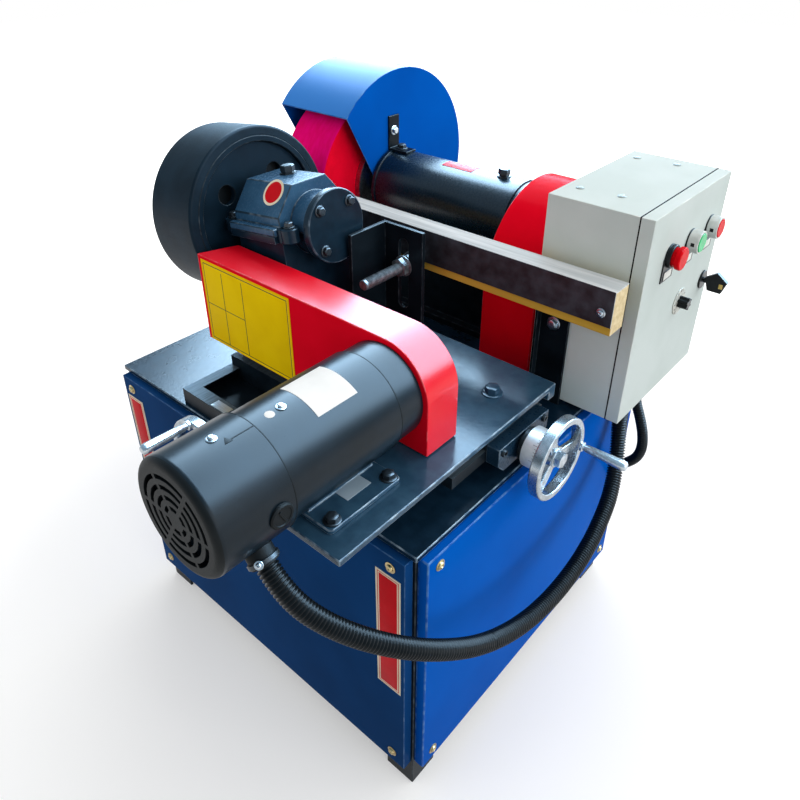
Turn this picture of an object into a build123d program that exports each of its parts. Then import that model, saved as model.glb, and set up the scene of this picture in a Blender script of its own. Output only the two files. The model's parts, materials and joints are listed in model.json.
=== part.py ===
import os
from math import cos, pi, radians, sin, tan

from build123d import *

os.makedirs("parts", exist_ok=True)

# Pipe polishing machine, in millimetres: +X to the right along the spindle, +Y to the back, +Z up.
# A rubber feed wheel on a cross slide presses the pipe against a covered abrasive wheel.
# Places named setback and inset are measured from the cabinet's front right corner.

# Clearances that many pieces share.
overrun = 1.0  # how far a cut runs past the face it opens
seat_gap = 0.1  # between rounded pieces that bear on each other
running_gap = 0.05  # radial, shaft in its bearing
way_gap = 0.2  # oil gap between sliding faces
cap_gap = 0.3  # push button cap in its collar

# Cabinet: four angle posts, four folded panels and a thick deck plate.
cabinet_width = 600.0
cabinet_depth = 550.0
deck_height = 480.0
deck_thickness = 8.0
deck_overhang = 5.0
post_leg = 50.0
post_wall = 5.0
panel_lift = 52.0
panel_fold = 15.0
panel_sheet = 2.0
panel_margin = 4.0
panel_head_gap = 2.0

# Lower slide: a cast trough with dovetail sides, along Y.
base_inset = 446.0
base_width = 276.0
base_length = 350.0
base_height = 25.0
rail_width = 20.0
trough_depth = 20.0
trough_front_wall = 22.0
dovetail_angle = 60.0

# Cross saddle and the table on it, along X.
saddle_inset = 443.0
saddle_tuck = 14.0
saddle_setback = 88.0
saddle_width = 202.0
saddle_thickness = 17.0
tongue_gap = 1.5
ridge_height = 12.0
ridge_width = 130.0
table_inset = 440.0
table_length = 372.0
table_setback = 110.0
table_width = 180.0
table_thickness = 30.0
block_setback = 158.0
block_length = 116.0
block_thickness = 20.0
block_height = 40.0
block_drop = 12.0
block_corner = 13.0

# Motor plate: a wide front half for the motor and a wing at the left for the gearbox.
plate_thickness = 8.0
plate_right_inset = 4.0
plate_overhang = 114.0
plate_back = 296.0
plate_front_width = 196.0
wing_inset = 455.0
wing_setback = 76.0
lip_width = 16.0
lip_depth = 13.0
lip_length = 58.0

# Feed motor, lying along Y on the plate.
motor_inset = 103.0
motor_height = 71.0
motor_radius = 62.0
fan_cover_radius = 65.0
fan_cover_length = 90.0
fan_cover_round = 9.0
fan_sheet = 3.0
fan_room = 12.0
grille_rings = 4
grille_arms = 6
grille_first = 14.0
grille_step = 11.0
grille_slot = 5.0
grille_bar = 5.0
motor_length = 155.0
end_bell_length = 38.0
end_bell_radius = 60.0
foot_width = 138.0
foot_length = 110.0
foot_sheet = 6.0
foot_setback = -96.0
foot_rib = 60.0

# Red belt guard between motor and gearbox, its left end slanted clear of the feed wheel.
guard_setback = 62.0
belt_guard_sheet = 2.0
belt_guard_depth = 56.0
belt_guard_inset = 451.0
belt_guard_slant = 20.0
belt_guard_radius = 66.0
belt_guard_lift = 2.0

# Worm gearbox, rolled about its worm so that the feed wheel leans.
feed_lean = 7.5
worm_inset = 380.0
worm_setback = 188.0
worm_height = 78.0
gear_centre_height = 90.0
gear_half_length = 48.0
gear_half_width = 62.0
gear_sill = 52.0
gear_foot = 12.0
gear_foot_edge = 15.0
gear_foot_side = 6.0
split_flange = 10.0
split_edge = 12.0
cover_height = 60.0
cover_wall_height = 22.0
cover_flat_width = 62.0
bearing_radius = 44.0
bearing_length = 32.0
end_cap_radius = 51.0
end_cap_thickness = 12.0
wheel_boss_length = 9.0
worm_boss_radius = 34.0
worm_boss_length = 8.0

# Feed wheel: steel drum with a thick rubber tyre.
feed_radius = 125.0
feed_width = 98.0
tyre_thickness = 14.0
tyre_round = 4.0
drum_wall = 9.0
web_thickness = 10.0
web_recess = 7.0
feed_wheel_gap = 19.0
feed_hub_radius = 30.0
feed_shaft_radius = 17.0
feed_hole_radius = 14.0
feed_hole_distance = 64.0
feed_hole_count = 4
feed_hole_turn = 53.0

# Work rest: slotted angle post, stud, wooden board and bent steel facing.
rest_post_inset = 290.0
rest_post_setback = 272.0
rest_post_leg = 75.0
rest_post_wall = 6.0
rest_post_height = 166.0
rest_slot_width = 18.0
rest_slot_length = 110.0
rest_slot_drop = 16.0
stud_radius = 8.0
stud_height = 108.0
stud_free_length = 84.0
nut_across = 24.0
nut_thickness = 12.0
rest_inset = 446.0
rest_length = 502.0
rest_height = 155.0
rest_setback = 300.0
rest_width = 35.0
rest_face_height = 50.0
rest_sheet = 2.0
board_height = 60.0

# Spindle: housing tube, cradle, shaft and abrasive wheel.
spindle_setback = 497.0
spindle_rise = 203.0
housing_radius = 60.0
housing_length = 288.0
shaft_radius = 25.0
cradle_length = 220.0
cradle_width = 100.0
cradle_foot_width = 130.0
cradle_foot = 12.0
cradle_bite = 24.0
wheel_radius = 150.0
wheel_width = 100.0
wheel_round = 4.0
flange_radius = 72.0
flange_thickness = 10.0
spindle_nut_length = 20.0

# Red arched guard over the spindle's own belt.
arch_right_inset = 92.0
arch_width = 90.0
arch_sheet = 2.0
arch_front_setback = 372.0
arch_back_gap = 2.0
arch_radius = 135.0
arch_spring_height = 140.0

# Blue hood over the abrasive wheel, held by one small bracket.
hood_radius = 175.0
hood_shift = 21.0
hood_lift = 17.0
hood_width = 158.0
hood_sheet = 2.0
hood_mouth_angle = 139.0
hood_mouth_slope = 61.0
hood_skirt = 30.0
hood_notch_radius = 32.0
hood_side_room = 25.0
bracket_sheet = 4.0
bracket_width = 25.0
bracket_height = 58.0
bracket_foot = 42.0

# Control box with a tray door that faces right.
box_depth = 128.0
box_right_inset = -46.0
box_setback = 359.0
box_width = 248.0
box_lift = 9.0
box_height = 302.0
box_sheet = 2.0
door_thickness = 18.4
door_gap = 0.6
stand_inset = 74.0
stand_leg = 48.0
stand_flange = 14.0
stand_wall = 4.0
stand_height = 200.0

# Controls on the door: three push buttons with legend plates, a speed knob and a key lock.
button_pitch = 67.0
button_first = 68.0
button_height = 234.5
collar_radius = 16.0
collar_length = 14.5
halt_collar_length = 5.5
cap_radius = 13.0
cap_length = 12.5
cap_seat = 5.0
cap_round = 0.6
halt_head_radius = 15.5
halt_head_length = 7.5
halt_head_gap = 4.5
legend_width = 35.0
legend_drop = 35.0
legend_thickness = 2.0
knob_place = 142.0
knob_height = 138.0
dial_radius = 20.0
dial_thickness = 1.5
knob_radius = 9.0
knob_length = 14.0
knob_flute = 3.0
knob_flutes = 6
lock_place = 225.0
lock_height = 142.0
lock_radius = 14.0
lock_length = 3.0
key_stem_radius = 4.0
key_stem_length = 5.5
key_bow_radius = 17.0
key_bow_thickness = 7.0
key_bow_sides = 5
key_bow_turn = 90.0
knob_gap = 0.4

# Two cast handwheels: one for each slide screw.
handwheel_radius = 57.0
rim_width = 15.0
rim_lead = 0.5  # the rim's middle is this far past the hub's end
rim_depth = 9.0
rim_round = 2.0
hub_radius = 15.0
hub_length = 14.0
spoke_width = 15.0
spoke_thickness = 7.0
spoke_count = 3
handle_radius = 5.0
handle_tip_radius = 7.0
side_handle_length = 72.0
front_handle_length = 76.0
side_handle_turn = -10.0
front_handle_turn = 100.0
dial_collar_radius = 28.0
dial_collar_length = 30.0
back_collar_radius = 24.0
back_collar_length = 7.0
screw_radius = 7.0
screw_neck = 4.0
side_screw_reach = 60.0
side_screw_height = 32.0
front_screw_height = 14.0
front_neck = 50.0
front_collar_length = 24.0

# Corrugated hoses and their glands.
motor_hose_radius = 12.0
panel_hose_radius = 8.5
gland_wall = 3.0
gland_length = 16.0
gland_bite = 4.0
gland_setback = -167.0
gland_angle = -49.0
box_gland_inset = -30.0
box_gland_setback = 456.0
panel_gland_setback = 503.0
inlet_reach = 33.0
inlet_height = 305.0
inlet_slope = 45.0
inlet_length = 24.0
hose_fill_share = 0.45
motor_hose_lead = 38.0
box_hose_lead = 30.0

# Hose routes between their leads: right of and behind the cabinet's front right corner, and up.
motor_hose_route = [
    (10.0, -140.0, 498.0),
    (45.0, -94.0, 454.0),
    (68.0, -38.0, 409.0),
    (82.0, 32.0, 360.0),
    (88.0, 115.0, 323.0),
    (88.0, 203.0, 306.0),
    (83.0, 290.0, 310.0),
    (71.0, 366.0, 330.0),
    (60.0, 403.0, 350.0),
    (48.0, 430.0, 377.0),
    (37.0, 448.0, 409.0),
]
panel_hose_route = [
    (48.0, 503.0, 405.0),
    (58.0, 503.0, 372.0),
    (59.0, 503.0, 345.0),
    (50.0, 503.0, 322.0),
]

# The origin lies under the middle of the machine's own box, without the hoses.
hood_right_inset = arch_right_inset + arch_width + housing_length + bracket_sheet
hub_reach = dial_collar_length + hub_length + screw_neck
saddle_length = saddle_inset - plate_right_inset - saddle_tuck
block_right_inset = plate_right_inset + saddle_tuck - block_thickness
reach_left = hood_right_inset + hood_width
reach_right = hub_reach - block_right_inset + side_handle_length
reach_back = spindle_setback + hood_shift + hood_radius
reach_front = fan_cover_length + motor_length + end_bell_length
corner_x = (reach_left - reach_right) / 2
corner_y = (reach_front - guard_setback - reach_back) / 2

# Levels of the stacked slides.
base_top = deck_height + base_height
saddle_low = base_top + way_gap
saddle_top = saddle_low + saddle_thickness
table_low = saddle_top + way_gap
table_top = table_low + table_thickness
plate_top = table_top + plate_thickness


def facing_right(x):
    """Sketch plane at x with Y to the right and Z up, extruding towards +X."""
    return Plane(origin=(x, 0, 0), x_dir=(0, 1, 0), z_dir=(1, 0, 0))


def facing_front(y):
    """Sketch plane at y with X to the right and Z up, extruding towards -Y."""
    return Plane(origin=(0, y, 0), x_dir=(1, 0, 0), z_dir=(0, -1, 0))


def slab(x0, x1, y0, y1, z0, z1, mode=Mode.ADD):
    """A block between two corners, in the part that is being built."""
    with Locations(((x0 + x1) / 2, (y0 + y1) / 2, (z0 + z1) / 2)):
        Box(x1 - x0, y1 - y0, z1 - z0, mode=mode)


def keep(piece, name):
    """Label a finished piece and write it under its own name."""
    piece.part.label = name
    export_step(piece.part, f"parts/{name}.step")


# Corner posts: hot-rolled angle, one at each corner, from the floor to the deck.
post_top = deck_height - deck_thickness
with BuildPart() as corner_posts:
    for side_x, outer_x in ((-1, corner_x), (1, corner_x - cabinet_width)):
        for side_y, outer_y in ((1, corner_y), (-1, corner_y + cabinet_depth)):
            with BuildSketch(Plane.XY):
                with BuildLine():
                    Polyline(
                        (outer_x, outer_y),
                        (outer_x + side_x * post_leg, outer_y),
                        (outer_x + side_x * post_leg, outer_y + side_y * post_wall),
                        (outer_x + side_x * post_wall, outer_y + side_y * post_wall),
                        (outer_x + side_x * post_wall, outer_y + side_y * post_leg),
                        (outer_x, outer_y + side_y * post_leg),
                        close=True,
                    )
                make_face()
            extrude(amount=post_top)
keep(corner_posts, "corner_posts")

# Panels: sheet trays with a folded edge, screwed to the posts with the hollow inwards.
panel_top = post_top - panel_head_gap
panel_left = corner_x - cabinet_width + panel_margin
panel_right = corner_x - panel_margin
panel_front = corner_y + panel_margin
panel_back = corner_y + cabinet_depth - panel_margin
for name, face_y, out in (("front_panel", corner_y, -1), ("back_panel", corner_y + cabinet_depth, 1)):
    skin_y = face_y + out * panel_fold
    inner_y = skin_y - out * panel_sheet
    with BuildPart() as tray:
        slab(panel_left, panel_right, min(face_y, skin_y), max(face_y, skin_y), panel_lift, panel_top)
        mouth_y = face_y - out * overrun
        slab(
            panel_left + panel_sheet,
            panel_right - panel_sheet,
            min(mouth_y, inner_y),
            max(mouth_y, inner_y),
            panel_lift + panel_sheet,
            panel_top - panel_sheet,
            mode=Mode.SUBTRACT,
        )
    keep(tray, name)
for name, face_x, out in (("right_panel", corner_x, 1), ("left_panel", corner_x - cabinet_width, -1)):
    skin_x = face_x + out * panel_fold
    inner_x = skin_x - out * panel_sheet
    with BuildPart() as tray:
        slab(min(face_x, skin_x), max(face_x, skin_x), panel_front, panel_back, panel_lift, panel_top)
        mouth_x = face_x - out * overrun
        slab(
            min(mouth_x, inner_x),
            max(mouth_x, inner_x),
            panel_front + panel_sheet,
            panel_back - panel_sheet,
            panel_lift + panel_sheet,
            panel_top - panel_sheet,
            mode=Mode.SUBTRACT,
        )
    keep(tray, name)

# Deck plate: one thick plate over the posts.
deck_left = corner_x - cabinet_width - deck_overhang
deck_right = corner_x + deck_overhang
deck_front = corner_y - deck_overhang
deck_back = corner_y + cabinet_depth + deck_overhang
with BuildPart() as deck_plate:
    slab(deck_left, deck_right, deck_front, deck_back, post_top, deck_height)
keep(deck_plate, "deck_plate")

# Slide base: cast trough whose inner sides lean outwards to the floor of the trough.
base_left = corner_x - base_inset
base_right = base_left + base_width
base_middle = base_left + base_width / 2
undercut = trough_depth / tan(radians(dovetail_angle))
trough_floor = base_top - trough_depth
trough_half = base_width / 2 - rail_width
front_screw_z = deck_height + front_screw_height
with BuildPart() as slide_base:
    slab(base_left, base_right, corner_y, corner_y + base_length, deck_height, base_top)
    with BuildSketch(facing_front(corner_y + base_length + overrun)):
        with BuildLine():
            Polyline(
                (base_middle - trough_half, base_top),
                (base_middle + trough_half, base_top),
                (base_middle + trough_half + undercut, trough_floor),
                (base_middle - trough_half - undercut, trough_floor),
                close=True,
            )
        make_face()
    extrude(amount=base_length + overrun - trough_front_wall, mode=Mode.SUBTRACT)
    with BuildSketch(facing_front(corner_y + trough_front_wall + overrun)):
        with Locations((base_middle, front_screw_z)):
            Circle(screw_radius + running_gap)
    extrude(amount=trough_front_wall + 2 * overrun, mode=Mode.SUBTRACT)
keep(slide_base, "slide_base")

# Cross saddle: plate with a dovetail tongue in the trough and a dovetail ridge on top.
saddle_left = corner_x - saddle_inset
saddle_right = saddle_left + saddle_length
saddle_front = corner_y + saddle_setback
saddle_back = saddle_front + saddle_width
tongue_low = trough_floor + tongue_gap
tongue_half = trough_half - way_gap
tongue_spread = (saddle_low - tongue_low) / tan(radians(dovetail_angle))
ridge_y = corner_y + block_setback + block_length / 2
ridge_half = ridge_width / 2
ridge_neck = ridge_half - ridge_height / tan(radians(dovetail_angle))
ridge_top = saddle_top + ridge_height
side_screw_z = deck_height + side_screw_height
with BuildPart() as cross_saddle:
    slab(saddle_left, saddle_right, saddle_front, saddle_back, saddle_low, saddle_top)
    with BuildSketch(facing_front(saddle_back)):
        with BuildLine():
            Polyline(
                (base_middle - tongue_half, saddle_low),
                (base_middle + tongue_half, saddle_low),
                (base_middle + tongue_half + tongue_spread, tongue_low),
                (base_middle - tongue_half - tongue_spread, tongue_low),
                close=True,
            )
        make_face()
    extrude(amount=saddle_width)
    with BuildSketch(facing_right(saddle_left)):
        with BuildLine():
            Polyline(
                (ridge_y - ridge_neck, saddle_top),
                (ridge_y + ridge_neck, saddle_top),
                (ridge_y + ridge_half, ridge_top),
                (ridge_y - ridge_half, ridge_top),
                close=True,
            )
        make_face()
    extrude(amount=saddle_length)
    with BuildSketch(facing_front(saddle_back + overrun)):
        with Locations((base_middle, front_screw_z)):
            Circle(screw_radius + running_gap)
    extrude(amount=saddle_width + 2 * overrun, mode=Mode.SUBTRACT)
    with BuildSketch(facing_right(saddle_right + overrun)):
        with Locations((ridge_y, side_screw_z)):
            Circle(screw_radius + running_gap)
    extrude(amount=-side_screw_reach - 2 * overrun, mode=Mode.SUBTRACT)
keep(cross_saddle, "cross_saddle")

# Screw block: bolted to the saddle's right end, it carries the side screw.
block_right = saddle_right + block_thickness
block_front = corner_y + block_setback
block_low = deck_height + block_drop
with BuildPart() as screw_block:
    slab(saddle_right, block_right, block_front, block_front + block_length, block_low, block_low + block_height)
    chamfer(screw_block.edges().filter_by(Axis.X).group_by(Axis.Z)[0], length=block_corner)
    with BuildSketch(facing_right(block_right + overrun)):
        with Locations((ridge_y, side_screw_z)):
            Circle(screw_radius + running_gap)
    extrude(amount=-block_thickness - 2 * overrun, mode=Mode.SUBTRACT)
keep(screw_block, "screw_block")

# Slide table: runs along X on the saddle's ridge.
table_left = corner_x - table_inset
table_front = corner_y + table_setback
groove_top = ridge_top + way_gap
groove_neck = ridge_neck + way_gap
groove_half = groove_neck + (groove_top - table_low) / tan(radians(dovetail_angle))
with BuildPart() as slide_table:
    slab(table_left, table_left + table_length, table_front, table_front + table_width, table_low, table_top)
    with BuildSketch(facing_right(table_left - overrun)):
        with BuildLine():
            Polyline(
                (ridge_y - groove_neck, table_low),
                (ridge_y + groove_neck, table_low),
                (ridge_y + groove_half, groove_top),
                (ridge_y - groove_half, groove_top),
                close=True,
            )
        make_face()
    extrude(amount=table_length + 2 * overrun, mode=Mode.SUBTRACT)
keep(slide_table, "slide_table")

# Motor plate: flame-cut plate with a wing under the gearbox and a bar under its back edge.
plate_right = corner_x - plate_right_inset
plate_front = corner_y - plate_overhang
plate_rear = corner_y + plate_back
wing_left = corner_x - wing_inset
with BuildPart() as motor_plate:
    slab(plate_right - plate_front_width, plate_right, plate_front, plate_rear, table_top, plate_top)
    slab(wing_left, plate_right - plate_front_width, corner_y + wing_setback, plate_rear, table_top, plate_top)
    slab(plate_right - lip_length, plate_right, plate_rear - lip_width, plate_rear, table_top - lip_depth, table_top)
keep(motor_plate, "motor_plate")

# Motor foot: pressed plate with a rib on each side that cradles the motor.
motor_x = corner_x - motor_inset
motor_z = plate_top + motor_height
foot_front = corner_y + foot_setback
foot_top = plate_top + foot_sheet
with BuildPart() as motor_foot:
    slab(
        motor_x - foot_width / 2,
        motor_x + foot_width / 2,
        foot_front,
        foot_front + foot_length,
        plate_top,
        foot_top,
    )
    fillet(motor_foot.edges().filter_by(Axis.Z), radius=foot_sheet)
    slab(
        motor_x - foot_rib / 2,
        motor_x + foot_rib / 2,
        foot_front + foot_sheet,
        foot_front + foot_length - foot_sheet,
        foot_top,
        motor_z - motor_radius / 2,
    )
    with BuildSketch(facing_front(foot_front + foot_length + overrun)):
        with Locations((motor_x, motor_z)):
            Circle(motor_radius + seat_gap)
    extrude(amount=foot_length + 2 * overrun, mode=Mode.SUBTRACT)
keep(motor_foot, "motor_foot")

# Motor body: rolled shell between the fan cover and the end bell.
guard_front = corner_y + guard_setback
bell_front = guard_front - end_bell_length
body_front = bell_front - motor_length
fan_front = body_front - fan_cover_length
with BuildPart() as motor_body:
    with BuildSketch(facing_front(bell_front)):
        with Locations((motor_x, motor_z)):
            Circle(motor_radius)
    extrude(amount=motor_length)
keep(motor_body, "motor_body")

# End bell: cast end shield that bolts the motor to the belt guard.
with BuildPart() as motor_end_bell:
    with BuildSketch(facing_front(guard_front)):
        with Locations((motor_x, motor_z)):
            Circle(end_bell_radius)
    extrude(amount=end_bell_length)
keep(motor_end_bell, "motor_end_bell")

# Fan cover: drawn cup with a round grille of arc slots in its face.
with BuildPart() as fan_cover:
    with BuildSketch(facing_front(body_front)):
        with Locations((motor_x, motor_z)):
            Circle(fan_cover_radius)
    extrude(amount=fan_cover_length)
    fillet(fan_cover.faces().sort_by(Axis.Y)[0].edges(), radius=fan_cover_round)
    with BuildSketch(facing_front(fan_front + fan_sheet + fan_room)):
        with Locations((motor_x, motor_z)):
            Circle(fan_cover_radius - fan_cover_round)
    extrude(amount=fan_room, mode=Mode.SUBTRACT)
    with BuildSketch(facing_front(fan_front + fan_sheet + overrun)):
        with Locations((motor_x, motor_z)):
            for ring in reversed(range(grille_rings)):
                Circle(grille_first + ring * grille_step + grille_slot / 2)
                Circle(grille_first + ring * grille_step - grille_slot / 2, mode=Mode.SUBTRACT)
            with PolarLocations(0, grille_arms // 2, angular_range=180):
                Rectangle(2 * fan_cover_radius, grille_bar, mode=Mode.SUBTRACT)
    extrude(amount=fan_sheet + 2 * overrun, mode=Mode.SUBTRACT)
keep(fan_cover, "fan_cover")

# Feed belt guard: welded sheet shell, open below, round about the motor's shaft.
guard_back = guard_front + belt_guard_depth
guard_left = corner_x - belt_guard_inset
guard_low = plate_top + belt_guard_lift
guard_top = motor_z + belt_guard_radius
slant = belt_guard_slant / belt_guard_depth


def guard_block(inset, low):
    """The guard's outline as a solid, drawn in by the inset and let down by low."""
    front_y = guard_front + inset
    back_y = guard_back - inset
    right = motor_x + belt_guard_radius - inset
    top = guard_top - inset
    bottom = guard_low - low
    left = guard_left + inset
    with BuildPart() as block:
        with BuildSketch(facing_front(back_y)):
            with BuildLine():
                Polyline((right, motor_z), (right, bottom), (left, bottom), (left, top), (motor_x, top))
                RadiusArc((motor_x, top), (right, motor_z), belt_guard_radius - inset)
            make_face()
        extrude(amount=back_y - front_y)
        with BuildSketch(Plane.XY.offset(bottom - overrun)):
            with BuildLine():
                Polyline(
                    (left - overrun, front_y - overrun),
                    (left - overrun * slant, front_y - overrun),
                    (left + (back_y - front_y + overrun) * slant, back_y + overrun),
                    (left - overrun, back_y + overrun),
                    close=True,
                )
            make_face()
        extrude(amount=top - bottom + 2 * overrun, mode=Mode.SUBTRACT)
    return block.part


with BuildPart() as feed_belt_guard:
    add(guard_block(0, 0))
    add(guard_block(belt_guard_sheet, overrun), mode=Mode.SUBTRACT)
keep(feed_belt_guard, "feed_belt_guard")

# Gearbox frame: its own X along the leaning output shaft, its origin on the worm.
lean = radians(feed_lean)
worm_x = corner_x - worm_inset
worm_y = corner_y + worm_setback
worm_z = plate_top + worm_height
shaft_way = Vector(cos(lean), 0, sin(lean))
gear_up = Vector(-sin(lean), 0, cos(lean))
worm_point = Vector(worm_x, worm_y, worm_z)
gear_level = Plane(origin=worm_point, x_dir=shaft_way, z_dir=gear_up)


def across_shaft(distance):
    """Sketch plane square to the output shaft, centred on it, at a distance from the worm."""
    centre = worm_point + gear_up * gear_centre_height + shaft_way * distance
    return Plane(origin=centre, x_dir=(0, 1, 0), z_dir=shaft_way)


# Gearbox base: cast lower housing with feet, worm bosses and the lower half of the split flange.
foot_half_length = gear_half_length + gear_foot_edge
foot_half_width = gear_half_width + gear_foot_side
flange_low = gear_centre_height - split_flange
with BuildPart() as gearbox_base:
    with BuildSketch(gear_level.offset(-gear_sill - gear_foot)):
        Rectangle(2 * foot_half_length, 2 * foot_half_width)
    extrude(amount=gear_foot)
    with BuildSketch(gear_level.offset(-gear_sill)):
        Rectangle(2 * gear_half_length, 2 * gear_half_width)
    extrude(amount=gear_sill + gear_centre_height)
    with BuildSketch(gear_level.offset(flange_low)):
        Rectangle(2 * gear_half_length, 2 * (gear_half_width + split_edge))
    extrude(amount=split_flange)
    with BuildSketch(facing_front(worm_y)):
        with Locations((worm_x, worm_z)):
            Circle(worm_boss_radius)
    extrude(amount=gear_half_width + worm_boss_length, both=True)
    with BuildSketch(across_shaft(gear_half_length)):
        Circle(bearing_radius)
    extrude(amount=bearing_length)
    with BuildSketch(across_shaft(-gear_half_length - wheel_boss_length)):
        Circle(bearing_radius)
    extrude(amount=wheel_boss_length)
    with BuildSketch(gear_level.offset(gear_centre_height)):
        Rectangle(2 * (gear_half_length + bearing_length), 2 * (gear_half_width + split_edge))
    extrude(amount=gear_centre_height, mode=Mode.SUBTRACT)
    with BuildSketch(across_shaft(-gear_half_length - wheel_boss_length - overrun)):
        Circle(feed_shaft_radius + running_gap)
    extrude(amount=wheel_boss_length + gear_half_length, mode=Mode.SUBTRACT)
keep(gearbox_base, "gearbox_base")

# Gearbox cover: upper housing, eight-sided seen along the shaft.
cover_half = gear_half_width
with BuildPart() as gearbox_cover:
    with BuildSketch(across_shaft(-gear_half_length)):
        with BuildLine():
            Polyline(
                (-cover_half, 0),
                (cover_half, 0),
                (cover_half, cover_wall_height),
                (cover_flat_width / 2, cover_height),
                (-cover_flat_width / 2, cover_height),
                (-cover_half, cover_wall_height),
                close=True,
            )
        make_face()
    extrude(amount=2 * gear_half_length)
    with BuildSketch(gear_level.offset(gear_centre_height)):
        Rectangle(2 * gear_half_length, 2 * (gear_half_width + split_edge))
    extrude(amount=split_flange)
    with BuildSketch(across_shaft(gear_half_length)):
        Circle(bearing_radius)
    extrude(amount=bearing_length)
    with BuildSketch(across_shaft(-gear_half_length - wheel_boss_length)):
        Circle(bearing_radius)
    extrude(amount=wheel_boss_length)
    with BuildSketch(gear_level.offset(gear_centre_height)):
        Rectangle(2 * (gear_half_length + bearing_length), 2 * (gear_half_width + split_edge))
    extrude(amount=-gear_centre_height, mode=Mode.SUBTRACT)
    with BuildSketch(across_shaft(-gear_half_length - wheel_boss_length - overrun)):
        Circle(feed_shaft_radius + running_gap)
    extrude(amount=wheel_boss_length + gear_half_length, mode=Mode.SUBTRACT)
keep(gearbox_cover, "gearbox_cover")

# End cap: round plate that closes the bearing on the free end of the shaft.
with BuildPart() as gearbox_end_cap:
    with BuildSketch(across_shaft(gear_half_length + bearing_length)):
        Circle(end_cap_radius)
    extrude(amount=end_cap_thickness)
keep(gearbox_end_cap, "gearbox_end_cap")

# Gearbox wedge: welded support between the level plate and the leaning feet.
wedge_half = foot_half_length * cos(lean)
sole = worm_point - gear_up * (gear_sill + gear_foot)
wedge_rise = foot_half_length * sin(lean)
with BuildPart() as gearbox_wedge:
    with BuildSketch(facing_front(worm_y + foot_half_width)):
        with BuildLine():
            Polyline(
                (sole.X - wedge_half, plate_top),
                (sole.X + wedge_half, plate_top),
                (sole.X + wedge_half, sole.Z + wedge_rise),
                (sole.X - wedge_half, sole.Z - wedge_rise),
                close=True,
            )
        make_face()
    extrude(amount=2 * foot_half_width)
keep(gearbox_wedge, "gearbox_wedge")

# Feed drum: turned steel ring under the tyre.
wheel_near = -gear_half_length - feed_wheel_gap
web_near = wheel_near - web_recess
drum_radius = feed_radius - tyre_thickness
web_radius = drum_radius - drum_wall
with BuildPart() as feed_drum:
    with BuildSketch(across_shaft(wheel_near)):
        Circle(drum_radius)
        Circle(web_radius, mode=Mode.SUBTRACT)
    extrude(amount=-feed_width)
keep(feed_drum, "feed_drum")

# Feed web: recessed disc with lightening holes, welded into the drum.
with BuildPart() as feed_web:
    with BuildSketch(across_shaft(web_near)):
        Circle(web_radius)
        Circle(feed_hub_radius, mode=Mode.SUBTRACT)
        with PolarLocations(feed_hole_distance, feed_hole_count, start_angle=feed_hole_turn):
            Circle(feed_hole_radius, mode=Mode.SUBTRACT)
    extrude(amount=-web_thickness)
keep(feed_web, "feed_web")

# Feed hub: boss of the wheel, in one piece with the gearbox's output shaft.
with BuildPart() as feed_hub:
    with BuildSketch(across_shaft(web_near)):
        Circle(feed_hub_radius)
    extrude(amount=-feed_width / 2)
    with BuildSketch(across_shaft(-gear_half_length)):
        Circle(feed_shaft_radius)
    extrude(amount=-feed_width)
keep(feed_hub, "feed_hub")

# Feed tyre: moulded rubber band on the drum, with rounded shoulders.
with BuildPart() as feed_tyre:
    with BuildSketch(across_shaft(wheel_near)):
        Circle(feed_radius)
    extrude(amount=-feed_width)
    fillet(feed_tyre.edges().filter_by(GeomType.CIRCLE), radius=tyre_round)
    with BuildSketch(across_shaft(wheel_near + overrun)):
        Circle(drum_radius + running_gap)
    extrude(amount=-feed_width - 2 * overrun, mode=Mode.SUBTRACT)
keep(feed_tyre, "feed_tyre")

# Rest post: upright angle on the plate, with a slot that sets the height of the rest.
post_left = corner_x - rest_post_inset
post_rear = corner_y + rest_post_setback
rest_post_top = plate_top + rest_post_height
slot_x = post_left + (rest_post_leg + rest_post_wall) / 2
slot_top = rest_post_top - rest_slot_drop
with BuildPart() as rest_post:
    slab(post_left, post_left + rest_post_leg, post_rear - rest_post_wall, post_rear, plate_top, rest_post_top)
    slab(
        post_left,
        post_left + rest_post_wall,
        post_rear - rest_post_leg,
        post_rear - rest_post_wall,
        plate_top,
        rest_post_top,
    )
    with BuildSketch(facing_front(post_rear + overrun)):
        with Locations((slot_x, slot_top - rest_slot_length / 2)):
            SlotOverall(rest_slot_length, rest_slot_width, rotation=90)
    extrude(amount=rest_post_wall + 2 * overrun, mode=Mode.SUBTRACT)
keep(rest_post, "rest_post")

# Rest stud: threaded rod with a nut on each side of the post.
stud_z = plate_top + stud_height
rest_front = corner_y + rest_setback
stud_tip = post_rear - rest_post_wall - stud_free_length
with BuildPart() as rest_stud:
    with BuildSketch(facing_front(rest_front)):
        with Locations((slot_x, stud_z)):
            Circle(stud_radius)
    extrude(amount=rest_front - stud_tip)
    for nut_back in (post_rear - rest_post_wall, post_rear + nut_thickness):
        with BuildSketch(facing_front(nut_back)):
            with Locations((slot_x, stud_z)):
                RegularPolygon(nut_across / 2, 6, major_radius=False)
        extrude(amount=nut_thickness)
keep(rest_stud, "rest_stud")

# Rest facing: bent steel strip over the top and front of the board.
rest_left = corner_x - rest_inset
rest_top = plate_top + rest_height
board_top = rest_top - rest_sheet
board_front = rest_front + rest_sheet
with BuildPart() as rest_facing:
    slab(rest_left, rest_left + rest_length, rest_front, rest_front + rest_width, board_top, rest_top)
    slab(rest_left, rest_left + rest_length, rest_front, board_front, rest_top - rest_face_height, board_top)
keep(rest_facing, "rest_facing")

# Rest board: planed timber that stiffens the facing.
with BuildPart() as rest_board:
    slab(
        rest_left,
        rest_left + rest_length,
        board_front,
        rest_front + rest_width,
        board_top - board_height,
        board_top,
    )
keep(rest_board, "rest_board")

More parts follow.
